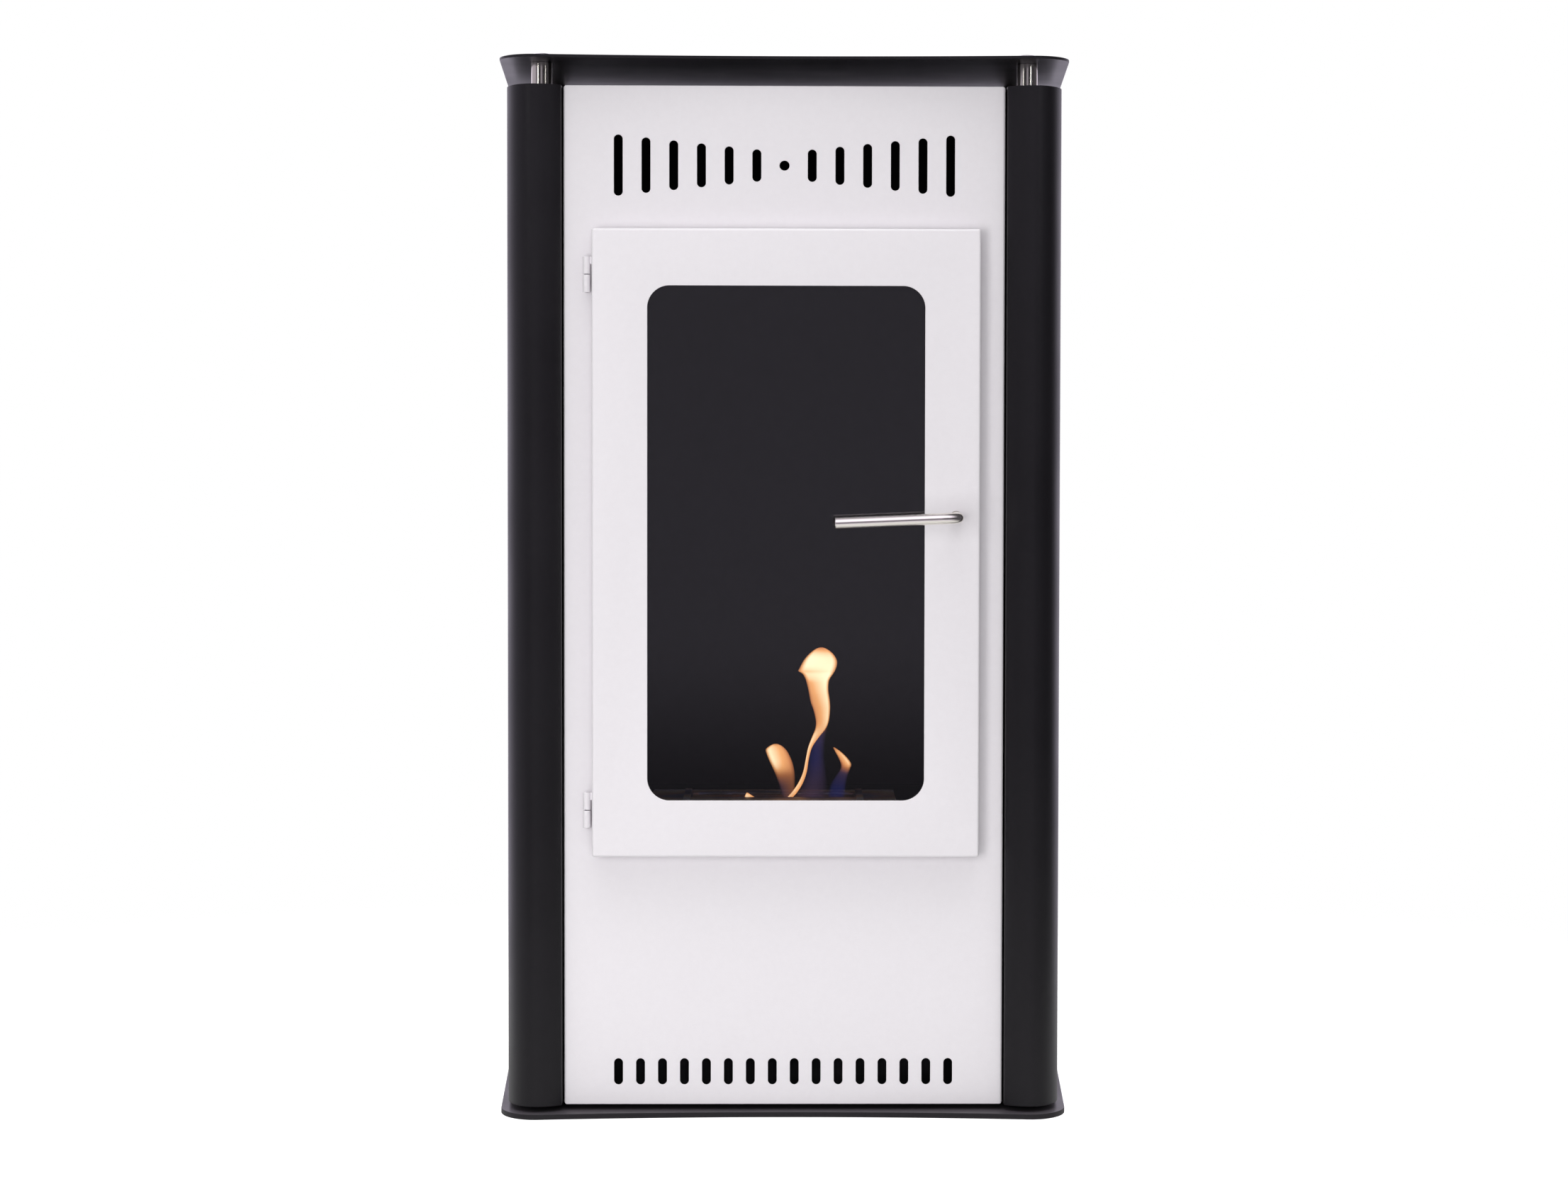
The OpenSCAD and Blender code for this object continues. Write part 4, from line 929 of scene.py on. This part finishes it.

# Flames
# Alcohol flames on the wool: a tall one that swells into a hooked head and trails a bright
# ribbon to the left over a blue veil, a bent one on its left, a small horn on its right and
# a spark of one far left.

# Each flame has its depth, how soft its edges are, and levels of height, left edge, right
# edge and half thickness in mm, tone at the left and right edge, and how solid it is there.
flame_forms = {
    "flame-tall": (-18, 1.0, [
        (420.6, 33.5, 37, 1, -0.05, -0.05, 0.6), (418.9, 29.4, 41, 3, 0.35, 0.25, 0.92),
        (415.4, 24.8, 45.6, 6, 0.75, 0.6, 1), (411.5, 21, 48.6, 8, 0.95, 0.8, 1),
        (407.7, 18.2, 50.1, 9, 0.95, 0.85, 1), (403.6, 16, 49.9, 9.5, 0.9, 0.9, 1),
        (400.4, 14.4, 48.9, 9.5, 0.7, 0.95, 1), (398.4, 13.6, 48, 9, 0.5, 0.95, 1),
        (395.8, 17.6, 46.4, 8.5, 0.7, 1, 1), (391.4, 20.2, 43.4, 8, 0.55, 1, 1),
        (387.6, 21.4, 42.2, 7.5, 0.3, 1, 0.98), (380.2, 23.2, 42, 6.5, 0.25, 0.95, 0.9),
        (369.6, 25.2, 43.4, 6, 0.16, 0.9, 0.8), (361.6, 28, 43.6, 5.5, 0.14, 0.85, 0.76),
        (351.3, 30.2, 42.4, 5, 0.2, 0.8, 0.76), (344, 29.6, 39.4, 4, 0.5, 0.55, 0.74),
        (336.4, 26.6, 33.4, 2.8, 0.8, 0.35, 0.82), (326.6, 23, 26.8, 2.2, 0.85, 0.3, 0.85),
        (315.9, 20.8, 23.8, 2, 0.8, 0.25, 0.82), (303.2, 18.2, 21.8, 2, 0.7, 0.25, 0.8),
        (292.5, 13.4, 18, 2.2, 0.75, 0.3, 0.82), (283.8, 7.2, 12.6, 2.4, 0.75, 0.3, 0.84),
        (277, 1.6, 7, 2.6, 0.7, 0.25, 0.76), (264.5, -4, 2, 3, 0.3, 0.1, 0.3)]),
    "flame-veil": (-14, 2.8, [
        (358, 33, 41.5, 1.5, 0.1, 0.3, 0), (348, 30, 41.6, 3, -0.1, 0.1, 0.4),
        (338, 28, 40, 3.4, -0.65, -0.5, 0.4), (326.6, 24, 38.8, 4, -0.95, -0.7, 0.48),
        (315.9, 21.6, 38.8, 4.4, -1, -0.75, 0.46), (303.2, 19.6, 40.4, 4.8, -0.8, -0.6, 0.36),
        (292.5, 16, 41.6, 6.5, -0.5, -0.5, 0.3), (283.8, 12, 42, 7, -0.4, -0.45, 0.26),
        (277, 9, 42, 7, -0.45, -0.5, 0.28), (264.5, 8, 42, 7, -0.45, -0.5, 0.1)]),
    "flame-left": (-26, 1.3, [
        (330.4, -9.5, -5.5, 1, 0.2, 0.1, 0.5), (328.6, -13.2, -1.6, 2.6, 0.7, 0.25, 0.85),
        (325.4, -16.8, 2, 4, 0.95, 0.2, 0.98), (321.6, -16.2, 4.6, 4.8, 1, 0.15, 0.98),
        (314.5, -13.4, 7.8, 5.6, 1, 0.05, 0.92), (308, -10.4, 9.6, 5, 0.75, 0.02, 0.66),
        (301, -7.4, 10.6, 4.2, 0.05, 0, 0.34), (293, -4.6, 10.6, 3.6, -0.35, 0, 0.22),
        (285, -2.4, 10.2, 3.4, -0.45, 0, 0.18), (277, 0, 9.6, 3.4, -0.4, 0, 0.12),
        (264.5, 1, 9, 4, -0.2, 0, 0.06)]),
    "flame-horn": (-12, 1.7, [
        (326, 46.4, 48.2, 0.8, 0.1, 0.1, 0.4), (321.8, 48.6, 54.2, 2, 0.3, 0.55, 0.78),
        (316, 51.6, 60.2, 3, 0.1, 0.85, 0.84), (310.4, 53.8, 63.8, 3.4, -0.1, 0.8, 0.78),
        (305.8, 53.4, 62.6, 3.2, -0.3, 0.1, 0.42), (300, 49.6, 60.6, 3.6, -0.7, -0.5, 0.28),
        (293, 45, 59.2, 4.4, -0.9, -0.8, 0.28), (285, 42.4, 58.2, 5, -1, -0.95, 0.3),
        (277, 41.4, 57.4, 5, -0.9, -0.9, 0.2), (264.5, 41, 57, 5, -0.8, -0.8, 0.06)]),
    "flame-spark": (-43, 1.3, [
        (286.2, -34.8, -33.2, 0.6, 0.5, 0.3, 0.5), (284.2, -35.8, -30.2, 1.6, 0.8, 0.4, 0.8),
        (281.8, -36.8, -26.4, 2.2, 0.8, 0.3, 0.8), (278.4, -37.6, -22, 2.4, 0.6, 0.2, 0.8),
        (264.5, -38, -20, 2.4, 0, 0, 0.1)]),
}
flame_tones = [(-1.0, (0.006, 0.011, 0.080)), (-0.45, (0.060, 0.036, 0.075)),
               (0.0, (0.44, 0.15, 0.055)), (0.45, (0.75, 0.35, 0.13)),
               (1.0, (1.0, 0.88, 0.56))]
flame_sides = 40
fire, tree, shader = new_finish("flame", {
    "Roughness": 1.0, "Specular IOR Level": 0.0, "Emission Strength": 1.9,
    "Base Color": (0, 0, 0)})
glow = stored(tree, "glow")
wisps = ranged(tree, cloud(tree, coordinates(tree), 60.0, 2.0), 0.3, 0.7, 0.9, 1.05)
feed(shader, {"Alpha": maths(tree, "MULTIPLY", glow["Alpha"], wisps, use_clamp=True),
              "Emission Color": glow["Color"]})


def flame_tone(tone):
    """Colour of a flame from blue (-1) over purple and orange (0) to cream (1)."""
    for (a, low), (b, high) in zip(flame_tones, flame_tones[1:]):
        if tone <= b:
            break
    share = min(1.0, max(0.0, (tone - a) / (b - a)))
    return [p + (q - p) * share for p, q in zip(low, high)]


def flame(name, depth, softness, levels):
    """Closed soft form through the levels, with its colour and thickness at each point."""
    fine, last = [], len(levels) - 1
    for i in range(last):
        a, b, c, d = (levels[max(0, min(last, i + k))] for k in (-1, 0, 1, 2))
        for t in (0.0, 0.25, 0.5, 0.75):
            fine.append([0.5 * (2 * q + (r - p) * t + (2 * p - 5 * q + 4 * r - s) * t * t
                                + (3 * q - p - 3 * r + s) * t**3)
                         for p, q, r, s in zip(a, b, c, d)])
    fine.append(levels[-1])
    rings, colours = [], []
    for z, left, right, thick, tone_left, tone_right, solid in fine:
        rings.append([])
        for k in range(flame_sides):
            a = 2 * math.pi * k / flame_sides
            u = 0.5 - 0.5 * math.cos(a)
            rings[-1].append(((left + (right - left) * u) / 1000,
                              (depth + max(thick, 0.3) * math.sin(a)) / 1000, z / 1000))
            inner = min(1.0, math.sin(a) ** 2 * 2.2 / softness)
            tone = tone_left + (tone_right - tone_left) * u
            if tone > 0:
                tone *= 0.25 + 0.75 * inner
            cover = solid * inner ** (0.45 * softness) * (0.88 + 0.12 * u)
            colours.append((*flame_tone(tone), min(1.0, max(0.0, cover))))
    piece = make(tube(rings), name, fire)
    glows = piece.data.color_attributes.new("glow", "FLOAT_COLOR", "POINT")
    glows.data.foreach_set("color", [c for point in colours for c in point])
    settle(piece, "burner")
    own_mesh(piece)


for name, (depth, softness, levels) in flame_forms.items():
    flame(name, depth, softness, levels)

# Floor, room and lamps
# A white studio: a pale floor that fades into a white backdrop, two soft lamps and two narrow
# strips in front, and a dim end of the room behind the camera, which shows as the soft grey in
# the door's glass. Only the strips show in the metal.

floor_paint, tree, shader = new_finish("studio floor", {
    "Roughness": 0.9, "Specular IOR Level": 0.1, "Base Color": (0.55, 0.55, 0.55)})
floor_r, glow_share, mirror_share = 1.6, 0.75, 0.05
off = vectors(tree, "LENGTH", coordinates(tree))["Value"]
fade = ranged(tree, off, 0.55, 1.5, interpolation_type="SMOOTHSTEP")
rays = node(tree, "ShaderNodeLightPath").outputs
seen = maths(tree, "MULTIPLY_ADD", rays["Is Glossy Ray"], mirror_share, rays["Is Camera Ray"])
glow = node(tree, "ShaderNodeEmission", {"Strength": maths(tree, "MULTIPLY", seen, glow_share)})
lit = node(tree, "ShaderNodeAddShader", {0: shader.outputs[0], 1: glow.outputs[0]})
clear = node(tree, "ShaderNodeBsdfTransparent")
blend = node(tree, "ShaderNodeMixShader", {0: fade, 1: lit.outputs[0], 2: clear.outputs[0]})
feed(tree.nodes["Material Output"], {"Surface": blend.outputs[0]})
disc = bmesh.new()
bmesh.ops.create_circle(disc, cap_ends=True, segments=96, radius=floor_r)
floor = make(disc, "studio-floor", floor_paint)

room = bpy.data.worlds.new("studio")
scene.world = room
room.use_nodes = True
tree = room.node_tree
place = node(tree, "ShaderNodeTexCoord").outputs["Generated"]
x, y, z = node(tree, "ShaderNodeSeparateXYZ", {0: place}).outputs
rays = node(tree, "ShaderNodeLightPath").outputs
sideways, upwards = maths(tree, "ABSOLUTE", x), maths(tree, "ABSOLUTE", z)


def ramp(source, start, end, low=0.0, high=1.0):
    """Smooth ramp of a value between two ends."""
    return ranged(tree, source, start, end, low, high, interpolation_type="SMOOTHSTEP")


# What mirrors and glass show, by direction: a dim end of the room straight behind the camera
# with lighter wings, a bright band above and below it, side walls, and behind the fireplace a
# far wall that is dark in the middle.
lean = maths(tree, "MULTIPLY_ADD", x, -0.15, y)
room_end = ramp(z, -0.100, -0.050, 0.12, 0.34)
wings = mixed(tree, ramp(sideways, 0.09, 0.22), room_end, 0.04)
ceiling = mixed(tree, ramp(upwards, 0.19, 0.42), wings, ramp(z, -0.3, 0.3, 0.8, 1.6))
side_walls = ramp(x, 0.35, -0.35, 0.08, 0.50)
far_wall = mixed(tree, ramp(sideways, 0.12, 0.30), ramp(sideways, 0.070, 0.096, 0.14, 2.80), 1.1)
backcloth = mixed(tree, ramp(y, 0.50, 0.80), side_walls, far_wall)
mirrored_room = mixed(tree, ramp(lean, -0.80, 0.0), ceiling, backcloth)
# What lights the dull faces: a dome that brightens upwards. Rays that go straight to the
# world, through at most two surfaces, see it white.
soft_light = mixed(tree, ramp(z, 0.80, 0.98), ramp(z, 0.2, 0.9, 0.33, 0.95), 4.8)
first = maths(tree, "LESS_THAN", rays["Ray Depth"], 2.5)
straight = maths(tree, "MULTIPLY", rays["Is Transmission Ray"], first)
direct = maths(tree, "MAXIMUM", rays["Is Camera Ray"], straight)
sharp = maths(tree, "MAXIMUM", rays["Is Glossy Ray"], rays["Is Transmission Ray"])
feed(tree.nodes["Background"], {
    "Color": tinted(tree, rays["Is Glossy Ray"], (1, 1, 1), (1.0, 0.93, 1.10)),
    "Strength": mixed(tree, direct, mixed(tree, sharp, soft_light, mirrored_room), 1.0)})

all_round, beam = math.pi, math.radians(20)
for name, place, aim, size, power, spread in (
        ("key-lamp", (-1.05, -2.75, 0.48), (0.0, -0.15, 0.48), (0.8, 1.6), 30.6, all_round),
        ("fill-lamp", (-0.15, -3.4, 0.62), (0.0, -0.15, 0.62), (1.0, 1.0), 11.5, all_round),
        ("left-strip", (-1.95, -2.30, 1.25), (-0.22, -0.11, 1.1), (0.14, 0.5), 0.035, beam),
        ("right-strip", (1.95, -2.30, 1.25), (0.22, -0.11, 1.1), (0.14, 0.5), 0.030, beam)):
    lamp = bpy.data.lights.new(name, "AREA")
    lamp.shape, lamp.size, lamp.size_y, lamp.energy = "RECTANGLE", *size, power
    lamp.spread = spread
    box = bpy.data.objects.new(name, lamp)
    box.location = place
    box.rotation_euler = (Vector(aim) - Vector(place)).to_track_quat("-Z", "Y").to_euler()
    box.visible_camera = False
    box.visible_glossy = box.visible_transmission = spread == beam
    scene.collection.objects.link(box)
